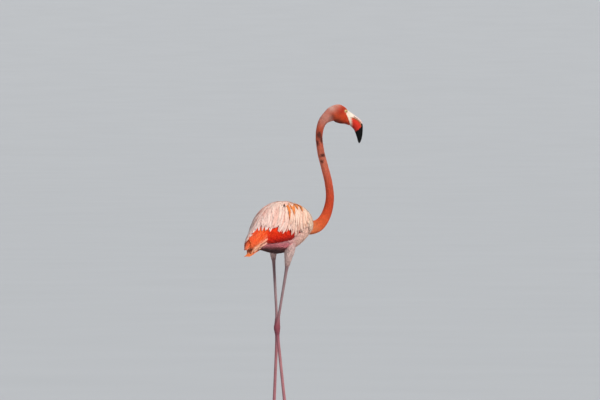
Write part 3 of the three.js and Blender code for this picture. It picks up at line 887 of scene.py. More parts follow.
def plumeTint(x, b, random):
    colours = ramp(x, plumes["colours"])
    colours = blendTo(colours, plumes["ridge"], 0.6 * (1 - soft(np.abs(b), 0.15, 0.5)))
    colours = blendTo(colours, plumes["cream"], random.uniform(0, 0.65, len(x)))
    rosy = random.uniform(0, 1, len(x)) ** 2.6 * (0.85 - 0.4 * (x < -60))
    colours = blendTo(colours, plumes["rose"], rosy)
    mottle = bell(x, 38, 34) * bell(np.abs(b), 0.62, 0.32)
    return blendTo(colours, plumes["mottle"], mottle * random.uniform(0, 1, len(x)) ** 1.6 * 0.75)


def cutShort(ts, bs, last, points):  # each line again from its root to its step number last
    at = np.linspace(0, 1, points) * last[:, None]
    index = at.astype(int)
    share = at % 1
    after = np.minimum(index + 1, ts.shape[1] - 1)
    return (np.take_along_axis(a, index, 1) * (1 - share) + np.take_along_axis(a, after, 1) * share
            for a in (ts, bs))


def makePlumes(name, side):
    random = np.random.default_rng(plumes["seed"] + side)
    steps = plumes["steps"]
    batches = []
    for row in plumes["rows"] + [plumes["inner"]] * (side > 0):
        x = np.arange(row["x"][0], row["x"][1], -plumes["step"])
        x = x + random.uniform(-0.35, 0.35, len(x)) * plumes["step"]
        b = side * np.radians(row["b"] + random.uniform(-6, 6, len(x)) * min(1, row["b"] / 12))
        longest = np.full(len(x), float(row["longest"]))
        ts, bs = walkOn(bodyPoint, bodyAt(x), b, longest, slanting(plumeDown), steps)
        line = bodyPoint(ts, bs)
        edge = plumeEdge(line[..., 0]) + random.uniform(-1, 1, (len(x), 1)) * plumes["jagged"]
        if side > 0 and row["b"] < 30:
            edge = edge - plumes["hangOver"] * soft(-line[..., 0], 118, 150)
        past = line[..., 2] < edge
        last = np.where(past.any(1), past.argmax(1), steps - 1)
        last = np.maximum(last, steps * plumes["shortest"] / row["longest"])
        ts, bs = cutShort(ts, bs, last * random.uniform(0.9, 1, len(x)), plumes["pathPoints"])
        style = dict(plumes["style"], lift=row["lift"])
        centre, normal = liftedLine(bodyPoint, ts, bs, style, random)
        endX = bodyPoint(ts[:, -1], bs[:, -1])[:, 0]
        blush = 0.4 * bell(endX, -108, 10) + 0.3 * bell(endX, 4, 16)
        colours = plumeTint(x, b, random)
        colours = blendTo(colours, plumes["blush"], blush * random.uniform(0.1, 1, len(x)))
        batches += barbedVanes(centre, normal, style, colours, random, unwrapped(ts, bs))
    coatPiece(f"plumes_{name}", batches, longFeather)


# mantle: shorter pale feathers between the neck and the plumes, and a few orange ones
mantle = {
    "row": 7.6, "column": 6.4, "seed": 51, "reach": (0.66, 0.985), "sideReach": (-1.75, 1.75),
    "rear": 52, "front": 134, "pathPoints": 8, "length": 29,
    "colours": [(50, "eed8be"), (96, "ecc8ac"), (128, "ebb292"), (140, "ec9468"), (160, "ee7c46")],  # by x
    "style": {
        "width": 9.5, "outline": "plume", "barbs": 5, "barbRun": 0.4, "lastBarb": 0.7, "barbWidth": 2.2,
        "barbStations": 4, "thick": 0.2, "shaft": 0.9, "loose": 0.24, "sag": 0.06, "shade": 0.07,
        "tip": ("f5e6d6", 0.3), "lift": (-3.0, 0.3),
    },
    "wedges": [  # x and angle of the roots, half width, length and number of the feathers in each
        (-6, 20, 4, 82, 5), (14, 22, 8, 66, 9), (38, 20, 5, 46, 6), (62, 17, 5, 58, 6),
    ],
    "mottled": {"x": (-14, 60), "b": (10, 22), "count": 12, "length": 14},
    "markStyle": {"width": 6, "sunk": 2, "lift": (0.8, 3.1), "tip": ("ee9452", 0.4)},
    "oranges": ("d8864c", "e87e38", "ee9452", "f4c4a0"),
}


def orangeMarks(random):  # rows of x, angle and length of the orange feathers, in wedges and scattered
    marks = []
    for x, angle, half, longest, count in mantle["wedges"]:
        off = np.linspace(-1, 1, count)
        marks.append(np.stack([x + half * off, angle + 3 * off, longest * (1 - 0.6 * np.abs(off))], -1))
    spots = mantle["mottled"]
    x = random.uniform(*spots["x"], spots["count"])
    angle = random.uniform(*spots["b"], spots["count"])
    marks.append(np.stack([x, angle, np.full(spots["count"], spots["length"])], -1))
    return np.concatenate(marks)


def makeMantle():
    random = np.random.default_rng(mantle["seed"])
    t, b = rootsOn(
        bodyPoint, mantle["reach"], mantle["row"], mantle["column"], random, mantle["sideReach"])
    x = bodyPoint(t, b)[:, 0]
    keep = (x > mantle["rear"]) & (x < mantle["front"]) & (np.abs(b) < 1.1 + 0.6 * soft(x, 68, 96))
    t, b, x = t[keep], b[keep], x[keep]
    length = mantle["length"] * random.uniform(0.8, 1.2, len(t)) * (1 - 0.55 * nearNeck(t))
    flow = slanting(lambda t, b: 0.78 * np.sin(b))
    ts, bs = walkOn(bodyPoint, t, b, length, flow, mantle["pathPoints"])
    style = dict(mantle["style"], liftAt=lambda t, b: 0.7 * nearNeck(t))
    centre, normal = liftedLine(bodyPoint, ts, bs, style, random)
    colours = ramp(x, mantle["colours"])
    colours = blendTo(colours, "f4e8da", random.uniform(0, 0.5, len(t)) * (1 - nearNeck(t)))
    batches = barbedVanes(centre, normal, style, colours, random, unwrapped(ts, bs))

    x, angle, length = orangeMarks(random).T
    style = dict(mantle["style"], **mantle["markStyle"])
    steepDown = slanting(lambda t, b: 0.91 * np.sign(b))
    oranges = [(i / 3, code) for i, code in enumerate(mantle["oranges"])]
    for side in (-1, 1):
        b = side * np.radians(angle)
        ts, bs = walkOn(bodyPoint, bodyAt(x), b, length, steepDown, mantle["pathPoints"])
        centre, normal = liftedLine(bodyPoint, ts, bs, style, random)
        share = random.uniform(0, 1, len(x)) * np.where(length > mantle["mottled"]["length"], 0.7, 1)
        batches += barbedVanes(centre, normal, style, ramp(share, oranges), random, unwrapped(ts, bs))
    coatPiece("mantle", batches, longFeather)


# tertials: long orange-red feathers that close each wing behind, over black primaries
tertials = {
    "seed": 61, "pathPoints": 14,
    "colours": [(0, "e2330c"), (0.6, "ee4612"), (1, "f6702e")],
    "lowest": "fbb294",
    "rows": [  # angles and x of the roots from the upper to the lower edge, how many, length, lift
        {"b": (40, 104), "x": (-112, -120), "count": 10, "length": 60, "lift": (-2.6, -0.6)},
        {"b": (14, 96), "x": (-98, -104), "count": 12, "length": 86, "lift": (-2.2, 0.1)},
        {"b": (8, 88), "x": (-116, -122), "count": 12, "length": 72, "lift": (-1.6, 0.6)},
        {"b": (10, 78), "x": (-136, -138), "count": 9, "length": 56, "lift": (-0.8, 1.0)},
        {"b": (2, 74), "x": (-150, -152), "count": 8, "length": 36, "lift": (0.4, 1.2)},
        {"b": (-20, 16), "x": (-128, -136), "count": 5, "length": 62, "lift": (0.4, 1.5)},
    ],
    "style": {
        "width": 12, "outline": "quill", "barbs": 12, "barbRun": 0.2, "lastBarb": 0.9, "barbWidth": 2.4,
        "barbStations": 4, "thick": 0.25, "shaft": 1.3, "loose": 0.25, "sag": 0.05, "shade": 0.1,
        "sunk": 4.5, "tip": ("f6a06a", 0.3),
    },
}


def makeTertials(name, side):
    random = np.random.default_rng(tertials["seed"] + side)
    tipX, tipY, tipZ = bodyShape["wingTip"]
    target = (tipX, side * 0.5 * tipY, tipZ)
    batches = []
    for row in tertials["rows"]:
        share = np.arange(row["count"]) + random.uniform(-0.3, 0.3, row["count"])
        share = np.clip(share / (row["count"] - 1), 0, 1)
        x = row["x"][0] + (row["x"][1] - row["x"][0]) * share
        b = side * np.radians(row["b"][0] + (row["b"][1] - row["b"][0]) * share)
        left = np.linalg.norm(bodyPoint(bodyAt(x), b) - target, axis=1)
        length = np.minimum(row["length"] * random.uniform(0.85, 1.1, len(x)), left - 2)
        ts, bs = walkOn(bodyPoint, bodyAt(x), b, length, towards(bodyPoint, target), tertials["pathPoints"])
        style = dict(tertials["style"], lift=row["lift"])
        centre, normal = liftedLine(bodyPoint, ts, bs, style, random)
        colours = ramp(random.uniform(0, 1, len(x)), tertials["colours"])
        colours = blendTo(colours, tertials["lowest"], 0.9 * soft(np.abs(b), 1.25, 1.6))
        batches += barbedVanes(centre, normal, style, colours, random, unwrapped(ts, bs))
    coatPiece(f"tertials_{name}", batches, longFeather)


def straightLines(roots, tips, sag, stations):
    along = np.linspace(0, 1, stations)[:, None]
    centre = roots[:, None] + (tips - roots)[:, None] * along
    centre[..., 2] += sag * 4 * (along * (1 - along))[:, 0]
    return centre


def flatUv(centre, across, along):  # bake places of feathers that grow off the body's form
    share = np.linspace(0, 0.03, centre.shape[1])
    return np.stack([across[:, None] + 0 * share, along[:, None] + share], -1)


primaries = {
    "count": 3, "width": 5.5, "root": (-138, 13, 609), "tip": (-180, 4, 593.5), "pathPoints": 12,
    "facing": (0.3, 0.85, 0.4), "colour": "1a1210",
    "style": {"section": "vane", "thick": 0.5, "droop": 0.1},
}


def makePrimaries():
    batches = []
    share = np.arange(primaries["count"]) / (primaries["count"] - 1)
    rootX, rootY, rootZ = primaries["root"]
    tipX, tipY, tipZ = primaries["tip"]
    black = tone(primaries["colour"]) + np.zeros((len(share), 3))
    outline = through(outlines["quill"], np.linspace(0, 1, primaries["pathPoints"]))[:, None]
    half = primaries["width"] / 2 * outline * np.ones((len(share), 1, 2))
    for side in (-1, 1):
        roots = np.stack([rootX + 6 * share, side * (rootY - share), rootZ - share], -1)
        tips = np.stack([tipX + 15 * share, side * (tipY + share), tipZ - 1.4 * share], -1)
        centre = straightLines(roots, tips, 2, primaries["pathPoints"])
        normal = unit(np.array(primaries["facing"]) * [1, side, 1] + 0 * centre)
        uv = np.stack([0.5 + side * (0.1 + 0.05 * share), 0.1 + 0.2 * share], -1)
        batches.append(vaneBatch(centre, normal, half, primaries["style"], black, black, uv))
    coatPiece("primaries", batches, longFeather)


# tail: flat steering feathers, with soft coverts above them and below
tailFan = {
    "pairs": 6, "root": (-96, 9, 606), "tip": (-189, 568.5), "spread": 9, "pathPoints": 14,
    "colour": "ea5e24",
    "style": {
        "width": 13, "outline": "quill", "barbs": 16, "barbRun": 0.15, "lastBarb": 0.93, "barbWidth": 2.4,
        "barbStations": 4, "thick": 0.25, "shaft": 1.3, "loose": 0.2, "sag": 0.05, "shade": 0.1,
        "tip": ("f4a05c", 0.6),
    },
    "tracts": [  # soft coverts round its root: how many, middle angle and spread of the roots, x from and to,
        # length, where they aim, how pale they get, and 1 if they close the wing tips over the tail
        (40, 0, 55, (-148, -168), 26, (-180, 6, 580), 0.1, 0),
        (74, 180, 72, (-104, -150), 36, (-172, 9, 574), 0.6, 0),
        (34, 180, 55, (-130, -158), 30, (-170, 8, 570), 0.4, 0),
        (26, 0, 80, (-146, -166), 80, (-187, 3, 589), 0, 1),
    ],
    "covertStyle": {
        "width": 8, "outline": "plume", "barbs": 6, "barbRun": 0.36, "lastBarb": 0.75, "barbWidth": 2.0,
        "barbStations": 4, "thick": 0.2, "shaft": 0.8, "loose": 0.8, "sag": 0.06, "shade": 0.07,
        "tip": ("fad2b0", 0.3),
    },
    "covertPoints": 8,
    "covertColours": [(-164, "ee7434"), (-140, "f08a4a"), (-122, "f6ac84"), (-106, "f0aa9a")],  # by x
    "covertPale": "fbd0bc",
    "overTail": "ec4c16",
    "seed": 71,
}


def tailCoverts(tract, random):
    count, middle, spread, (startX, endX), longest, (aimX, aimY, aimZ), pale, over = tract
    share = random.uniform(0, 1, count)
    across = random.uniform(-1, 1, count)
    t = bodyAt(startX + (endX - startX) * share)
    b = np.radians(middle + spread * across)
    out = outward(bodyPoint, t, b)
    roots = bodyPoint(t, b) - (9 - 7 * over) * out
    aimAside = aimY * np.sign(roots[:, 1]) * np.abs(across)
    aim = np.stack([aimX + 4 * random.uniform(-1, 1, count), aimAside, aimZ + 0 * t], -1)
    left = np.linalg.norm(aim - roots, axis=1)
    run = np.minimum(longest * random.uniform(0.8, 1.2, count) / left, 1)[:, None]
    centre = straightLines(roots, roots + (aim - roots) * run, 0, tailFan["covertPoints"])
    along = np.linspace(0, 1, tailFan["covertPoints"])[:, None]
    bulge = 9 - 4 * over
    centre = centre + out[:, None] * (bulge * along * (1 - along) + 6 * along * (1 - run[:, None]))
    colours = ramp(roots[:, 0], tailFan["covertColours"])
    colours = blendTo(colours, tailFan["covertPale"], random.uniform(0, pale, count))
    colours = blendTo(colours, tailFan["overTail"], 0.8 * over)
    uv = flatUv(centre, 0.5 + 0.3 * across, t)
    return barbedVanes(centre, unit(out[:, None] + 0 * centre), tailFan["covertStyle"], colours, random, uv)


def makeTail():
    random = np.random.default_rng(tailFan["seed"])
    order = np.arange(-tailFan["pairs"] + 0.5, tailFan["pairs"]) / tailFan["pairs"]
    x, y, z = tailFan["root"]
    roots = np.stack([x + 0 * order, y * order, z - 3 * np.abs(order)], -1)
    tipX, tipZ = tailFan["tip"]
    tips = np.stack([tipX + 12 * order ** 2, tailFan["spread"] * order, tipZ - 2.2 * np.abs(order)], -1)
    centre = straightLines(roots, tips, 2, tailFan["pathPoints"])
    lean = np.array([0, 0.35, 0]) * order[:, None, None]
    normal = unit(np.array([-0.37, 0.0, 0.93]) + lean + 0 * centre)
    colours = tone(tailFan["colour"]) * random.uniform(0.92, 1.06, (len(order), 1))
    uv = flatUv(centre, 0.5 + 0.3 * order, 0.2 + 0 * order)
    batches = barbedVanes(centre, normal, tailFan["style"], colours, random, uv)
    for tract in tailFan["tracts"]:
        batches += tailCoverts(tract, random)
    coatPiece("tailFeathers", batches, longFeather)


legShape = {
    "knee": {"right": (6, -46, 645), "left": (8, 46, 645)},
    "ankle": {"right": (-36.5, -12, 324), "left": (-5.5, 12, 324)},
    "foot": {"right": (-16, -39), "left": (8, 39)},
    "toesOut": 6,
    "cuff": {"right": 0, "left": 22},  # how much higher that leg's feathers end
    "thigh": [  # heights and radii, as in the next three
        (664, 3), (642, 7), (624, 12.5), (606, 17.8), (582, 17.6), (562, 13.4), (545, 10), (532, 7.6),
    ],
    "shin": [(566, 6.6), (532, 6.2), (505, 4.9), (450, 4.4), (395, 4.1), (362, 4.8), (348, 6.4)],
    "ankleRing": [
        (354, 5.6), (342, 7.6), (334, 9.0), (326, 9.6), (317, 9.5), (308, 8.2), (298, 6.2), (286, 5.3),
    ],
    "tarsus": [(296, 6.0), (262, 4.9), (160, 4.8), (60, 5.1), (30, 5.7), (12, 6.5)],
    "depth": 1.14,  # front to back against side to side
    "ankleDepth": 1.2,
}
footShape = {
    "toes": [(-27, 58, 4.1), (2, 71, 4.4), (31, 63, 4.1)],  # turn in degrees, length, radius
    "swell": (1.05, 0.9, 1.04, 0.88, 1.02, 0.88, 1.0, 0.88, 0.98, 0.72),  # a toe's pads and joints
    "pads": (0, 0.12, 0.26, 0.38, 0.5, 0.6, 0.7, 0.8, 0.9, 1),  # and their places along it
    "taper": 0.34,
    "sink": 0.78,  # height of a toe's middle over its radius
    "web": {"thick": 1.6, "height": 1.7, "ripple": 0.35, "reach": 0.94, "drawnBack": 0.6, "start": 0.06},
    "heel": {
        "line": [(-2, 0, 24), (-1, 0, 15), (0, 0, 8), (2, 0, 3), (4, 0, 1)],
        "radii": [5.9, 6.9, 7.8, 7.6, 5.6],
    },
    "hallux": 14,
    "halluxRadii": [3.4, 2.7, 1.7],
    "claw": {
        "length": 8, "radius": 2.3, "height": 2.9, "droop": 1.2,
        "places": (-0.35, 0, 0.35, 0.7, 0.93, 1), "taper": (0.7, 0.95, 0.8, 0.5, 0.24, 0.08),
    },
    "halluxClawRadii": [1.5, 1.2, 0.3],
    "clawColour": "1c1614",
}
sides = {"right": -1, "left": 1}


def tube(centres, radii, depth, stations, around):  # a limb's closed form, its rings set across it
    t = np.linspace(0, 1, stations)
    line, radius = through(centres, t), through(radii, t)
    along = unit(np.gradient(line, axis=0))
    side = unit(np.array([0, 1, 0]) - along * along[:, 1:2])
    front = np.cross(along, side)
    b = np.linspace(0, 2 * np.pi, around, endpoint=False)
    rings = (line[:, None] + side[:, None] * (radius[:, None] * np.cos(b))[..., None]
             + front[:, None] * (radius[:, None] * depth * np.sin(b))[..., None])
    points = rings.reshape(-1, 3)
    return points, facingOut(points, tubeQuads(stations, around)), np.zeros((len(points), 3))


def stretch(top, bottom, table):  # a (height, radius) table strung on the line through two points
    top, bottom, table = np.array(top, float), np.array(bottom, float), np.array(table, float)
    share = (top[2] - table[:, 0]) / (top[2] - bottom[2])
    return top + (bottom - top) * share[:, None], table[:, 1]


def legLine(name):
    foot = legShape["foot"][name]
    return legShape["knee"][name], legShape["ankle"][name], (foot[0] - 2, foot[1], 14)


def cuffed(name, table):  # the table with its rows near the feathers' lower end raised by that leg's cuff
    heights, radii = np.array(table, float).T
    share = np.minimum(np.clip((642 - heights) / 60, 0, 1), np.clip((heights - 470) / 40, 0, 1))
    return np.stack([heights + legShape["cuff"][name] * share, radii], -1)


def thighForm(name):
    knee, ankle, _ = legLine(name)
    centres, radii = stretch(knee, ankle, cuffed(name, legShape["thigh"]))
    along = unit(np.subtract(ankle, knee).astype(float))
    side = unit(np.array([0, 1, 0]) - along * along[1])
    front = np.cross(along, side)

    def point(t, b):  # t runs down the thigh, b from its front to the left
        radius = through(radii, t)
        forward = front * (radius * np.cos(b))[..., None]
        return through(centres, t) + forward + side * (radius * np.sin(b))[..., None]

    return point


thighCoat = {
    "row": 4.2, "column": 2.5, "seed": 81, "reach": (0.2, 0.97),
    "style": {
        "section": "blade", "outline": "contour", "stations": 5, "length": 15, "vary": 0.2, "width": 3.0,
        "lift": (-1.8, 0.3), "thick": 0.2, "sway": 0.18, "shade": 0.07, "ragged": 0.15, "loose": 0.4,
        "tip": ("f6e2da", 0.2), "crisp": False,
    },
    "colours": [  # by the share of the way down
        (0, "ecaeb0"), (0.3, "f0c2bc"), (0.55, "f2d0c8"), (0.8, "e2bcb4"), (0.93, "bc8e8a"), (1, "9c6c6e"),
    ],
}


def thighTint(t, b):
    return ramp(t, thighCoat["colours"])


def downLeg(t, b):
    return 1.0 + 0 * t, 0 * b


def makeThighCoat(name):
    random = np.random.default_rng(thighCoat["seed"] + sides[name])
    form = thighForm(name)
    t, b = rootsOn(form, thighCoat["reach"], thighCoat["row"], thighCoat["column"], random)
    style = dict(
        thighCoat["style"],
        lengthAt=lambda t, b, length: length * (1 - 0.4 * soft(t, 0.6, 1)),
        widthAt=lambda t, b: 1 - 0.45 * soft(t, 0.6, 1),
        liftAt=lambda t, b: -2.0 * (1 - soft(t, 0.25, 0.5)),
    )
    batch = layVanes(form, t, b, style, downLeg, thighTint, random)
    coatPiece(f"thighCoat_{name}", [batch], bodyFeather)


def footPlace(name):  # turns a foot's own frame, toes towards +X, into the bird's
    turn = np.radians(sides[name] * legShape["toesOut"])
    foot = legShape["foot"][name]

    def place(points):
        x, y, z = np.moveaxis(np.asarray(points, float), -1, 0)
        forward = foot[0] + x * np.cos(turn) - y * np.sin(turn)
        return np.stack([forward, foot[1] + x * np.sin(turn) + y * np.cos(turn), z], -1)

    return place


def toeLine(name, turn, length, radius):
    angle = np.radians(sides[name] * turn)
    share = np.array(footShape["pads"])
    thick = radius * np.array(footShape["swell"]) * (1 - footShape["taper"] * share)
    out = share * length
    return np.stack([out * np.cos(angle), out * np.sin(angle), footShape["sink"] * thick], -1), thick


def webParts(name):  # a thin sheet between neighbouring toes, its front edge drawn back
    web = footShape["web"]
    stations, across = 20, np.linspace(0, 1, 16)
    parts = []
    for (turnA, lengthA, _), (turnB, lengthB, _) in zip(footShape["toes"], footShape["toes"][1:]):
        angle = np.radians(sides[name] * (turnA + (turnB - turnA) * across))
        edge = web["reach"] - web["drawnBack"] * across * (1 - across)
        reach = (lengthA + (lengthB - lengthA) * across) * edge
        out = np.linspace(web["start"], 1, stations)[:, None]
        x, y = out * reach * np.cos(angle), out * reach * np.sin(angle)
        middle = web["height"] + web["ripple"] * np.sin(across * 3 * np.pi) * out
        upper = np.stack([x, y, middle + web["thick"] / 2], -1)
        lower = np.stack([x, y, middle - web["thick"] / 2], -1)
        points = np.concatenate([upper, lower[:, ::-1]], 1).reshape(-1, 3)
        quads = tubeQuads(stations, 2 * len(across))
        parts.append((points, facingOut(points, quads), np.zeros((len(points), 3))))
    return parts


def footParts(name):  # in the foot's own frame: heel, toes, the small raised hind toe and webs
    heel = footShape["heel"]
    parts = [tube(heel["line"], heel["radii"], 1.1, 14, 20)]
    for turn, length, radius in footShape["toes"]:
        parts.append(tube(*toeLine(name, turn, length, radius), 1.05, 40, 16))
    length, lean = footShape["hallux"], -sides[name]
    hallux = [(-3, lean * 1, 13), (-5 - length * 0.5, lean * 3.5, 9.5), (-5 - length, lean * 5, 6.2)]
    parts.append(tube(hallux, footShape["halluxRadii"], 1.0, 12, 12))
    return parts + webParts(name)


def legForm(name):  # shin, ankle, tarsus and foot as overlapping closed forms
    knee, ankle, joint = legLine(name)
    depth = legShape["depth"]
    upper, radii = stretch(knee, ankle, legShape["ankleRing"])
    lower, _ = stretch(ankle, joint, legShape["ankleRing"])
    ankleLine = np.where(upper[:, 2:] > ankle[2], upper, lower)
    place = footPlace(name)
    return joined([
        tube(*stretch(knee, ankle, cuffed(name, legShape["shin"])), depth, 60, 20),
        tube(ankleLine, radii, legShape["ankleDepth"], 30, 24),
        tube(*stretch(ankle, joint, legShape["tarsus"]), depth, 80, 20),
        *[(place(points), quads, tint) for points, quads, tint in footParts(name)],
    ])


def wrapped(points, quads, voxel, easing):  # one closed skin round overlapping forms
    scratch = meshPiece("scratch", points, quads, np.zeros((len(points), 3)), bareSkin)
    wrap = scratch.modifiers.new("wrap", "REMESH")
    wrap.mode = "VOXEL"
    wrap.voxel_size = voxel / 1000
    ease = scratch.modifiers.new("ease", "SMOOTH")
    ease.factor = 0.5
    ease.iterations = easing
    mesh = bpy.data.meshes.new_from_object(scratch.evaluated_get(bpy.context.evaluated_depsgraph_get()))
    loops = np.empty(len(mesh.loops), np.int32)
    mesh.loops.foreach_get("vertex_index", loops)
    points = meshPoints(mesh)
    bpy.data.objects.remove(scratch)
    bpy.data.meshes.remove(mesh)
    return points, loops.reshape(-1, 4)


legMarks = {
    "along": [  # by height
        (0, "a85a64"), (20, "a85a64"), (60, "ac6c74"), (200, "b07478"), (285, "a0606a"), (305, "8a4450"),
        (330, "8c404c"), (350, "90525a"), (372, "987074"), (450, "987c7e"), (530, "8e6e70"), (570, "a8827e"),
    ],
    "sole": "7c3e48",
}


def legTint(points):
    z = points[:, 2]
    return blendTo(ramp(z, legMarks["along"]), legMarks["sole"], 0.5 * (1 - soft(z, 1.5, 5)))


# leg plates and bill lamellae: curved plates set at named places by one node tree
plateLooks = {
    "scutes": {
        "arc": 1.9, "thickness": 0.075, "tilt": 0.05, "spacing": 4.7, "toeSpacing": 3.1, "cover": 1.12,
        "tarsus": [(286, 5.15), (262, 4.95), (160, 4.85), (60, 5.35), (32, 6.3)],  # heights and radii
        "shin": [(500, 4.85), (450, 4.45), (395, 4.15), (366, 4.7)],
        "sunk": 0.97, "toeSunk": 0.93, "edge": "c99a98",
    },
    "lamellae": {
        "arc": 0.42, "thickness": 0.8, "tilt": 0.0, "spacing": 1.05, "height": 1.5, "colour": "c8a08a",
        "reach": (0.02, 0.8), "set": (0.5, -0.2), "inside": 1.1,
    },
}


def plateTree(name, material):
    tree = bpy.data.node_groups.new(name, "GeometryNodeTree")
    tree.interface.new_socket("Places", in_out="INPUT", socket_type="NodeSocketGeometry")
    for label in ("Arc", "Thickness", "Tilt"):
        tree.interface.new_socket(label, in_out="INPUT", socket_type="NodeSocketFloat")
    tree.interface.new_socket("Plates", in_out="OUTPUT", socket_type="NodeSocketGeometry")
    add, maths = wiring(tree)
    given = add("NodeGroupInput").outputs
    size = add("ShaderNodeCombineXYZ", {0: given["Arc"], 1: 1.0, 2: given["Thickness"]})
    cuts = {"Vertices X": 7, "Vertices Y": 4, "Vertices Z": 2}
    block = add("GeometryNodeMeshCube", {"Size": size.outputs[0], **cuts})
    place = add("ShaderNodeSeparateXYZ", {0: add("GeometryNodeInputPosition").outputs[0]})
    x, y, z = place.outputs
    narrowing = maths("MULTIPLY_ADD", maths("MULTIPLY", y, y), -0.9, 1.0)  # rounds the plate's corners
    angle = maths("MULTIPLY", x, narrowing)
    radius = maths("ADD", maths("MULTIPLY_ADD", y, given["Tilt"], 1.0), z)
    bent = add("ShaderNodeCombineXYZ", {
        0: maths("MULTIPLY", maths("SINE", angle), radius),
        1: y,
        2: maths("MULTIPLY", maths("COSINE", angle), radius),
    })
    plate = add("GeometryNodeSetPosition", {"Geometry": block.outputs[0], "Position": bent.outputs[0]})

    def named(label):
        kind = "GeometryNodeInputNamedAttribute"
        return add(kind, {"Name": label}, data_type="FLOAT_VECTOR").outputs["Attribute"]

    axes = {"Primary Axis": named("facing"), "Secondary Axis": named("along")}
    turn = add("FunctionNodeAxesToRotation", axes, primary_axis="Z", secondary_axis="Y")
    spread = add("GeometryNodeInstanceOnPoints", {
        "Points": given["Places"], "Instance": plate.outputs[0], "Rotation": turn.outputs[0],
        "Scale": named("plateSize"),
    })
    real = add("GeometryNodeRealizeInstances", {0: spread.outputs[0]})
    coloured = add("GeometryNodeSetMaterial", {"Geometry": real.outputs[0], "Material": material})
    tree.links.new(coloured.outputs[0], add("NodeGroupOutput").inputs["Plates"])
    return tree


def platesOn(name, places, look, material, tintOf):  # places: rows of centre, facing, along and size
    centre, facing, along, size = (np.concatenate(part) for part in zip(*places))
    mesh = bpy.data.meshes.new(name)
    mesh.from_pydata([tuple(point) for point in toScene(centre)], [], [])
    for label, values in (("facing", facing), ("along", along), ("plateSize", size / 1000)):
        layer = mesh.attributes.new(label, "FLOAT_VECTOR", "POINT")
        layer.data.foreach_set("vector", values.ravel().astype(np.float32))
    source = linked(bpy.data.objects.new(name + "Places", mesh))
    setter = source.modifiers.new("plates", "NODES")
    setter.node_group = plateTree(name + "Tree", material)
    for socket in setter.node_group.interface.items_tree:
        if socket.in_out == "INPUT" and socket.name != "Places":
            setter[socket.identifier] = look[socket.name.lower()]
    made = bpy.data.meshes.new_from_object(source.evaluated_get(bpy.context.evaluated_depsgraph_get()))
    source.modifiers.remove(setter)
    bpy.data.objects.remove(source)
    colourMesh(made, tintOf(meshPoints(made)))
    made.polygons.foreach_set("use_smooth", np.ones(len(made.polygons), bool))
    made.name = name
    return linked(bpy.data.objects.new(name, made))


def plateRow(centres, radii, facing, spacing, cover):  # a row of plates along a limb's line
    fine = np.linspace(0, 1, 300)
    gone = lengthsAlong(through(centres, fine))
    t = np.interp(np.arange(spacing, gone[-1] - spacing / 2, spacing), gone, fine)
    centre, radius = through(centres, t), through(radii, t)
    along = unit(through(centres, t + 0.01) - through(centres, t - 0.01))
    front = unit(facing - along * np.sum(along * facing, -1, keepdims=True))
    size = np.stack([radius, np.full(len(t), spacing * cover), radius * legShape["depth"]], -1)
    return centre, front, along, size


def scuteTint(points):
    return blendTo(legTint(points), plateLooks["scutes"]["edge"], 0.18 + 0 * points[:, 0])


def makeScutes():
    look = plateLooks["scutes"]
    forward = np.array([1.0, 0, 0])
    upward = np.array([0, 0, 1.0])
    places = []
    for name in sides:
        knee, ankle, joint = legLine(name)
        for top, bottom, table in ((ankle, joint, look["tarsus"]), (knee, ankle, look["shin"])):
            centres, radii = stretch(top, bottom, table)
            places.append(plateRow(centres, radii * look["sunk"], forward, look["spacing"], look["cover"]))
        place = footPlace(name)
        for toe in footShape["toes"]:
            centres, thick = toeLine(name, *toe)
            thick = thick * look["toeSunk"]
            places.append(plateRow(place(centres), thick, upward, look["toeSpacing"], look["cover"]))
    finishPiece(platesOn("scutes", places, look, bareSkin, scuteTint))


# one skin for all the flesh
skinShape = {
    "bodyInset": 9.5, "wingInset": 6.5, "crestInset": 1.6, "underNeckInset": 4.6, "thighInset": 2.6,
    "legVoxel": 1.1, "legEasing": 4,
    "bodyRings": (100, 64), "crestRings": (330, 72), "thighRings": (30, 24),  # how many, points in each
    "lids": {"inner": 4.9, "outer": 6.5, "out": 3.85, "thick": 0.8, "folds": 26, "foldDepth": 0.14},
    "lidColours": [(-1, "6a3426"), (-0.7, "b86a4c"), (0, "e09a72"), (1, "e4b090")],  # eye side to outer side
}
fleshNodes = ["trunk", "wing_right", "wing_left", "tail", "neck_lower", "neck_middle", "neck_upper", "head"]
fleshNodes += [f"{part}_{side}" for part in ("thigh", "shin", "ankle", "tarsus", "foot") for side in sides]


def eyeFrame(side):  # an eye's middle, the way it looks, and the two directions across it
    eye = np.array(headShape["eye"], float) * [1, side, 1]
    axis = unit(np.array([0.22, side * 0.97, 0.06]))
    first = unit(np.cross([0, 0, 1], axis))
    return eye, axis, first, np.cross(axis, first)


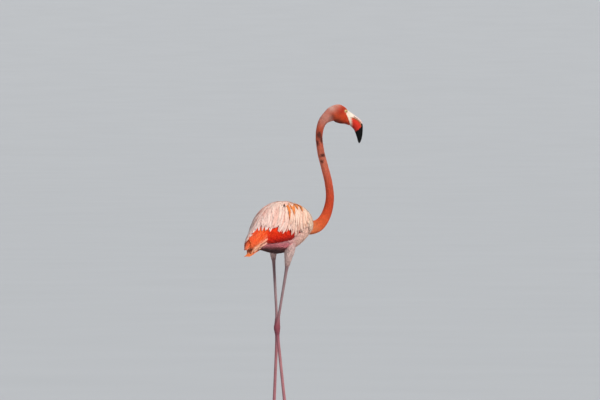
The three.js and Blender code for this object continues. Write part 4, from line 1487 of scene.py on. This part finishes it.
def lidForm(side):  # the bare, finely folded ring of lids round an eye
    lids = skinShape["lids"]
    eye, axis, first, second = eyeFrame(side)
    around, section = 104, 12
    angle = np.linspace(0, 2 * np.pi, around, endpoint=False)[:, None]
    turn = np.linspace(0, 2 * np.pi, section, endpoint=False)
    radial = (lids["inner"] + lids["outer"]) / 2 + (lids["outer"] - lids["inner"]) / 2 * np.cos(turn)
    fold = 1 + lids["foldDepth"] * np.sin(lids["folds"] * angle) * (np.cos(turn) > -0.3)
    brow = 1 + 0.4 * np.clip(np.sin(angle), 0, 1)
    out = lids["out"] + lids["thick"] * brow * fold * np.sin(turn) - 0.35 * (radial - lids["inner"]) ** 1.4
    ahead = radial * np.cos(angle) * 1.06
    above = radial * np.sin(angle) * 0.93
    offset = first * ahead[..., None] + second * above[..., None] + axis * out[..., None]
    points = fromHead(eye + offset).reshape(-1, 3)
    ring, cross = np.arange(around)[:, None], np.arange(section)
    a, b = ring * section + cross, ring * section + (cross + 1) % section
    quads = np.stack([a, b, (b + section) % len(points), (a + section) % len(points)], -1).reshape(-1, 4)
    tint = ramp(np.cos(turn) + 0 * angle, skinShape["lidColours"])
    return points, facingOut(points, quads), tint.reshape(-1, 3)


def bodyInset(t, b):  # deep under the soft body feathers, less so under the wing's, least at the neck
    x, _, z = np.moveaxis(bodyPoint(t, b), -1, 0)
    thinner = skinShape["wingInset"] - skinShape["bodyInset"]
    deep = skinShape["bodyInset"] + thinner * soft(z - hemHeight(x), 4, 16)
    deep = np.minimum(deep, 0.72 * through(bodyShape["rows"], t)[..., 3])
    return deep * (1 - nearNeck(t)) + skinShape["crestInset"] * nearNeck(t)


def crestInset(t, b):  # none where the face is bare
    drawnIn = skinShape["crestInset"] + skinShape["underNeckInset"] * underNeck(t, b)
    return drawnIn * (1 - np.maximum(*barePlaces(t, b)))


def thighInset(t, b):
    return skinShape["thighInset"] + 0 * t


def faceTint(t, b):
    face, ring = barePlaces(t, b)
    return blendTo(blendTo(crestTint(t, b), headMarks["face"], face), headMarks["eye ring"], ring)


def makeSkin():
    parts = [
        formMesh(bodyPoint, (0.11, 1), *skinShape["bodyRings"], bodyInset, bodyTint),
        formMesh(crestPoint, (0, 1), *skinShape["crestRings"], crestInset, faceTint),
    ]
    for name in sides:
        parts.append(formMesh(thighForm(name), (0.02, 1), *skinShape["thighRings"], thighInset, thighTint))
    parts += [lidForm(side) for side in (-1, 1)]
    smooth = sum(len(part[0]) for part in parts)
    for name in sides:
        points, quads, _ = legForm(name)
        points, quads = wrapped(points, quads, skinShape["legVoxel"], skinShape["legEasing"])
        points[:, 2] = np.maximum(points[:, 2], 0)
        parts.append((points, quads, legTint(points)))
    points, quads, tint = joined(parts)
    piece = meshPiece("skin", points, quads, tint, bareSkin)
    scaly = piece.data.attributes.new("scaly", "FLOAT", "POINT")
    scaly.data.foreach_set("value", (np.arange(len(points)) >= smooth).astype(np.float32))
    finishPiece(piece, fleshNodes)


billShape = {  # from base to tip, in the head's frame
    "ridge": [
        [59.0, 1061.3], [74, 1051.5], [90, 1039.8], [104, 1029], [112, 1014], [113, 995], [111.3, 974],
        [107, 957], [102.6, 949.4],
    ],
    "mouth": [
        [63.9, 1036.6], [77, 1035.5], [90, 1030], [100.5, 1021], [106.2, 1007.5], [107.2, 992], [106, 972],
        [103.6, 956], [101.6, 949],
    ],
    "keel": [
        [69.4, 1009.2], [77, 1002], [83, 995], [87, 986], [90, 977.5], [93.5, 967.5], [96, 957.5],
        [98.8, 951], [100.6, 948.6],
    ],
    "upperHalf": [14.9, 13.2, 11.4, 9.6, 8.6, 7.6, 6.2, 4, 1],
    "lowerHalf": [14.9, 14.6, 13.6, 12.6, 11, 9, 7, 4.4, 1.2],
    "upperClear": (0.72, 0.15),  # what opens the parting of the bill, forward and up
    "lowerClear": (0.3, -0.55),
    "stations": 170,
    "around": 96,
    "nostril": {"x": (79, 94), "share": 0.36, "half": 0.05, "deep": 1.7, "colour": "2a1614"},
    "groove": {"side": 0.55, "half": 0.1, "deep": 0.13},
    "furrow": {"half": 0.09, "deep": 0.035},
}


def billPart(upper, lower, half, clear, section):  # places on one half of the bill, and where they lie on it
    t = np.linspace(0, 1, billShape["stations"])[:, None]
    b = np.linspace(0, 2 * np.pi, billShape["around"], endpoint=False) + 0 * t
    high = through(upper, t[:, 0])[:, None] + clear
    low = through(lower, t[:, 0])[:, None] + clear
    side, share = section(t, b)
    place = low + (high - low) * share[..., None]
    tucked = 1 - 0.05 * bell(t, 0, 0.005)  # the base closes in under the skin of the face
    return place[..., 0], through(half, t) * side * tucked, place[..., 1], side, share, b


def upperSection(t, b):  # an arch with a raised ridge between two grooves, hollow under its edges
    side, rise = np.cos(b), np.sin(b)
    steep = 1 - 0.2 * soft(t, 0.02, 0.2)
    share = np.where(rise > 0, np.maximum(rise, 0) ** steep, -0.16 * np.minimum(rise, 0) * (1 - side ** 2))
    groove = billShape["groove"]
    fade = soft(t, 0.03, 0.15) * (1 - soft(t, 0.7, 0.95))
    cut = groove["deep"] * bell(np.abs(side), groove["side"], groove["half"]) * (rise > 0) * fade
    return side, share - cut


def lowerSection(t, b):  # a deep trough with swollen walls and a furrow along the keel
    side, fall = np.cos(b), -np.sin(b)
    steep = 1 - 0.25 * soft(t, 0.02, 0.2)
    share = 1 - np.where(fall > 0, np.maximum(fall, 0) ** steep, -0.14 * fall * (1 - side ** 2))
    fade = soft(t, 0.04, 0.16) * (1 - soft(t, 0.75, 0.97))
    furrow = billShape["furrow"]
    ledge = 1 + (0.05 * bell(fall, 0.36, 0.2) - 0.05 * bell(fall, 0.1, 0.07)) * fade
    return side * ledge, share + furrow["deep"] * bell(side, 0, furrow["half"]) * (fall > 0) * fade


billMarks = {
    "upper": [(60, "e9dcc8"), (74, "e8d6c6"), (84, "e8cfc4"), (98, "e8cac2"), (108, "e6bcb0")],  # by x
    "upperEdge": "e8935e",
    "streak": "2a1412",
    "upperTip": "0b0a09",
    "lower": [(64, "e9dac6"), (70, "e6c8b6"), (73.5, "de7c68"), (76.5, "d23222"), (104, "d43424")],
    "lowerEdge": "ee9a60",
    "keel": "7c242a",
    "lowerTip": "0a0908",
}


def upperTint(x, z, side, share):
    colours = ramp(x, billMarks["upper"])
    edge = 1 - soft(share, 0.06, 0.2)
    colours = blendTo(colours, billMarks["upperEdge"], 0.75 * edge * soft(x, 70, 78))
    streak = bell(share, 0.31 + 0.04 * np.sin(x * 0.9), 0.12) * soft(x, 77, 82)
    dark = streak * (0.75 + 0.45 * np.sin(x * 1.1))
    colours = blendTo(colours, billMarks["streak"], np.clip(dark, 0, 1) * 0.92)
    return blendTo(colours, billMarks["upperTip"], 1 - soft(z + 1.5 * np.sin(side * 9), 1013, 1018))


def lowerTint(x, z, side, share):
    place = x - (1015 - z) * 0.13 + 0.8 * np.sin(z * 0.8)
    colours = ramp(place, billMarks["lower"])
    edge = soft(share, 0.86, 0.97)
    colours = blendTo(colours, billMarks["lowerEdge"], 0.8 * edge * soft(x, 70, 78))
    colours = blendTo(colours, billMarks["keel"], 0.6 * (1 - soft(share, 0.02, 0.3)))
    border = z - (1006 + (x - 107) * 0.95) + 1.2 * np.sin(side * 7 + x)
    return blendTo(colours, billMarks["lowerTip"], 1 - soft(border, -1.5, 2.5))


def billMesh(name, x, y, z, tint, node):
    points = fromHead(np.stack([x, y, z], -1)).reshape(-1, 3)
    quads = facingOut(points, tubeQuads(billShape["stations"], billShape["around"]))
    finishPiece(meshPiece(name, points, quads, tint.reshape(-1, 3), horn), [node])


def makeBill():
    shape = billShape
    x, y, z, side, share, b = billPart(
        shape["ridge"], shape["mouth"], shape["upperHalf"], shape["upperClear"], upperSection)
    nostril = shape["nostril"]
    start, end = nostril["x"]
    lengthwise = soft(x, start - 1, start + 1.5) * (1 - soft(x, end - 1.5, end + 1))
    slit = lengthwise * bell(share, nostril["share"], nostril["half"]) * (np.sin(b) > 0)
    y = y - np.sign(y) * nostril["deep"] * slit
    # the nostril's dark colour is painted shade standing in for the inside of the slit
    tint = blendTo(upperTint(x, z, side, share), nostril["colour"], np.clip(slit * 1.2, 0, 1))
    billMesh("upperBill", x, y, z, tint, "bill_upper")
    x, y, z, side, share, b = billPart(
        shape["mouth"], shape["keel"], shape["lowerHalf"], shape["lowerClear"], lowerSection)
    billMesh("lowerBill", x, y, z, lowerTint(x, z, side, share), "bill_lower")


def lamellaTint(points):
    return tone(plateLooks["lamellae"]["colour"]) + 0 * points


def makeLamellae():  # the fine comb that shows in the parting of the bill
    look = plateLooks["lamellae"]
    fine = np.linspace(*look["reach"], 400)
    mouth = through(billShape["mouth"], fine) + look["set"]
    halves = [through(billShape[key], fine) for key in ("upperHalf", "lowerHalf")]
    half = np.minimum(*halves) - look["inside"]
    places = []
    for side in (-1, 1):
        line = fromHead(np.stack([mouth[:, 0], side * half, mouth[:, 1]], -1))
        gone = lengthsAlong(line)
        at = np.arange(0, gone[-1], look["spacing"])
        centre = np.stack([np.interp(at, gone, line[:, i]) for i in range(3)], -1)
        after = np.stack([np.interp(at + 0.5, gone, line[:, i]) for i in range(3)], -1)
        ahead = unit(after - centre + 1e-6)
        facing = unit(np.array([-np.sin(headTurn), np.cos(headTurn), 0]) * side + 0 * centre)
        size = np.array([1.0, look["height"], 1.0]) + 0 * centre
        places.append((centre - facing, facing, unit(np.cross(ahead, facing)), size))
    finishPiece(platesOn("lamellae", places, look, horn, lamellaTint))


eyeLook = {
    "bulge": 0.5,
    "colours": [  # by the distance from the middle of the pupil
        (0, "050505"), (1.75, "050505"), (2.05, "d0a848"), (2.9, "f8e29a"), (4.4, "f0cf7c"), (4.8, "6a3420"),
        (6, "3a1c14"),
    ],
    "stations": 44,
    "around": 40,
}


def makeEyes():
    stations, around = eyeLook["stations"], eyeLook["around"]
    polar = np.linspace(0.02, np.pi - 0.02, stations)[:, None]
    turn = np.linspace(0, 2 * np.pi, around, endpoint=False)
    out = headShape["eyeRadius"] * np.sin(polar) + 0 * turn
    cornea = eyeLook["bulge"] * bell(out, 0, 3.6) * (np.cos(polar) > 0)
    ahead = headShape["eyeRadius"] * np.cos(polar) + cornea
    tint = ramp(np.where(np.cos(polar) > 0, out, 9), eyeLook["colours"]).reshape(-1, 3)
    parts = []
    for side in (-1, 1):
        eye, axis, first, second = eyeFrame(side)
        offset = first * (out * np.cos(turn))[..., None] + second * (out * np.sin(turn))[..., None]
        points = fromHead(eye + offset + axis * ahead[..., None]).reshape(-1, 3)
        parts.append((points, facingOut(points, tubeQuads(stations, around)), tint))
    finishPiece(meshPiece("eyes", *joined(parts), wetEye), ["eye_right", "eye_left"])


def clawPart(place, centres, radii, depth, stations, around):
    points, quads, _ = tube(centres, radii, depth, stations, around)
    return place(points), quads, tone(footShape["clawColour"]) + np.zeros((len(points), 3))


def makeClaws():
    claw = footShape["claw"]
    share = np.array(claw["places"])
    height = claw["height"] - claw["droop"] * share ** 2 * np.sign(share)
    parts = []
    for name in sides:
        place = footPlace(name)
        for turn, length, _ in footShape["toes"]:
            angle = np.radians(sides[name] * turn)
            out = length + share * claw["length"]
            centres = np.stack([out * np.cos(angle), out * np.sin(angle), height], -1)
            parts.append(clawPart(place, centres, claw["radius"] * np.array(claw["taper"]), 0.8, 20, 14))
        lean, back = -sides[name], footShape["hallux"]
        base = (-5 - back * 0.85, lean * 4.6, 6.9)
        middle = (-7 - back, lean * 5.4, 5.2)
        tip = (-9 - back, lean * 5.8, 3.4)
        parts.append(clawPart(place, [base, middle, tip], footShape["halluxClawRadii"], 0.9, 10, 10))
    names = [f"claw_{toe}_{side}" for toe in ("inner", "middle", "outer") for side in sides]
    finishPiece(meshPiece("claws", *joined(parts), horn), names)


studio = {  # in metres
    "yaw": 50,  # degrees from the way the body faces to the right of the view
    "distance": 25.0,
    "cameraHeight": 1.138,
    "frameWidth": 2.04,  # across the view at the bird
    "aside": 0.0646,  # how far the middle of the view lies to the right of the bird's own origin
    "middleHeight": 0.757,
    "sensor": 36.0,
    "floor": {  # flat round the bird, then a shallow dish
        "flat": 40, "rise": 2000, "sides": 96,
        "rings": (0, 20, 40, 50, 62, 78, 98, 122, 150, 184, 226, 276, 336, 400),
    },
    "sky": (0.84, 0.91, 1.0, 1),
    "skyStrength": 0.4,
    "sun": {"from": (1.15, 1.0, 1.25), "strength": 3.0, "angle": 12, "colour": (1.0, 0.96, 0.9)},
    "fill": {"from": (-1.6, 1.5, 0.9), "strength": 0.25, "angle": 60, "colour": (0.85, 0.92, 1.0)},
}


def pointAt(thing, place, target):
    thing.location = place
    thing.rotation_mode = "QUATERNION"
    thing.rotation_quaternion = Vector(target - place).to_track_quat("-Z", "Y")


def makeCamera(place, target):
    camera = bpy.data.cameras.new("camera")
    camera.sensor_width = studio["sensor"]
    camera.lens = studio["sensor"] * studio["distance"] / studio["frameWidth"]
    camera.clip_end = 2 * studio["floor"]["rings"][-1]
    stand = linked(bpy.data.objects.new("camera", camera))
    pointAt(stand, place, target)
    bpy.context.scene.camera = stand


def makeFloor():
    shape = studio["floor"]
    mesh = bpy.data.meshes.new("floor")
    reach = np.maximum(np.array(shape["rings"], float), 0.001)[:, None]
    turn = np.linspace(0, 2 * np.pi, shape["sides"], endpoint=False)
    height = np.maximum(reach - shape["flat"], 0) ** 2 / shape["rise"]
    points = np.stack([reach * np.cos(turn), reach * np.sin(turn), height + 0 * turn], -1).reshape(-1, 3)
    faces = tubeQuads(len(reach), len(turn))[:(len(reach) - 1) * len(turn)]
    mesh.from_pydata(points.tolist(), [], faces[:, ::-1].tolist() + [list(range(len(turn)))])
    mesh.polygons.foreach_set("use_smooth", np.ones(len(mesh.polygons), bool))
    mesh.materials.append(floorMaterial())
    linked(bpy.data.objects.new("floor", mesh))


def makeLamp(name, target, view, rightward):
    look = studio[name]
    lamp = bpy.data.lights.new(name, "SUN")
    lamp.energy = look["strength"]
    lamp.angle = np.radians(look["angle"])
    lamp.color = look["colour"]
    right, near, up = look["from"]
    place = target + rightward * right - view * near + [0, 0, up]
    pointAt(linked(bpy.data.objects.new(name, lamp)), place, target)


def makeStudio():
    yaw = np.radians(studio["yaw"])
    view = np.array([np.sin(yaw), np.cos(yaw), 0.0])
    rightward = np.array([np.cos(yaw), -np.sin(yaw), 0.0])
    middle = np.array([sceneShift[0], sceneShift[1], 0.0]) + rightward * studio["aside"]
    target = middle + [0, 0, studio["middleHeight"]]
    makeCamera(middle - view * studio["distance"] + [0, 0, studio["cameraHeight"]], target)
    makeFloor()
    makeLamp("sun", target, view, rightward)
    makeLamp("fill", target, view, rightward)

    world = bpy.data.worlds.new("studio")
    world.use_nodes = True
    background = world.node_tree.nodes["Background"]
    background.inputs["Color"].default_value = studio["sky"]
    background.inputs["Strength"].default_value = studio["skyStrength"]
    bpy.context.scene.world = world
    bpy.context.scene.view_settings.view_transform = "Standard"
    print("camera, floor and lights are set")


makeStudio()
makeSkin()
makeBill()
makeLamellae()
makeEyes()
makeClaws()
makeScutes()
print("flesh, horn, eyes and claws are made")
makeNeckCoat()
makeHeadCoat()
makeBreastCoat()
makeMantle()
makeTail()
makePrimaries()
for name, side in sides.items():
    makeWingCoat(name, side)
    makePlumes(name, side)
    makeTertials(name, side)
    makeThighCoat(name)
print("the coat is laid")
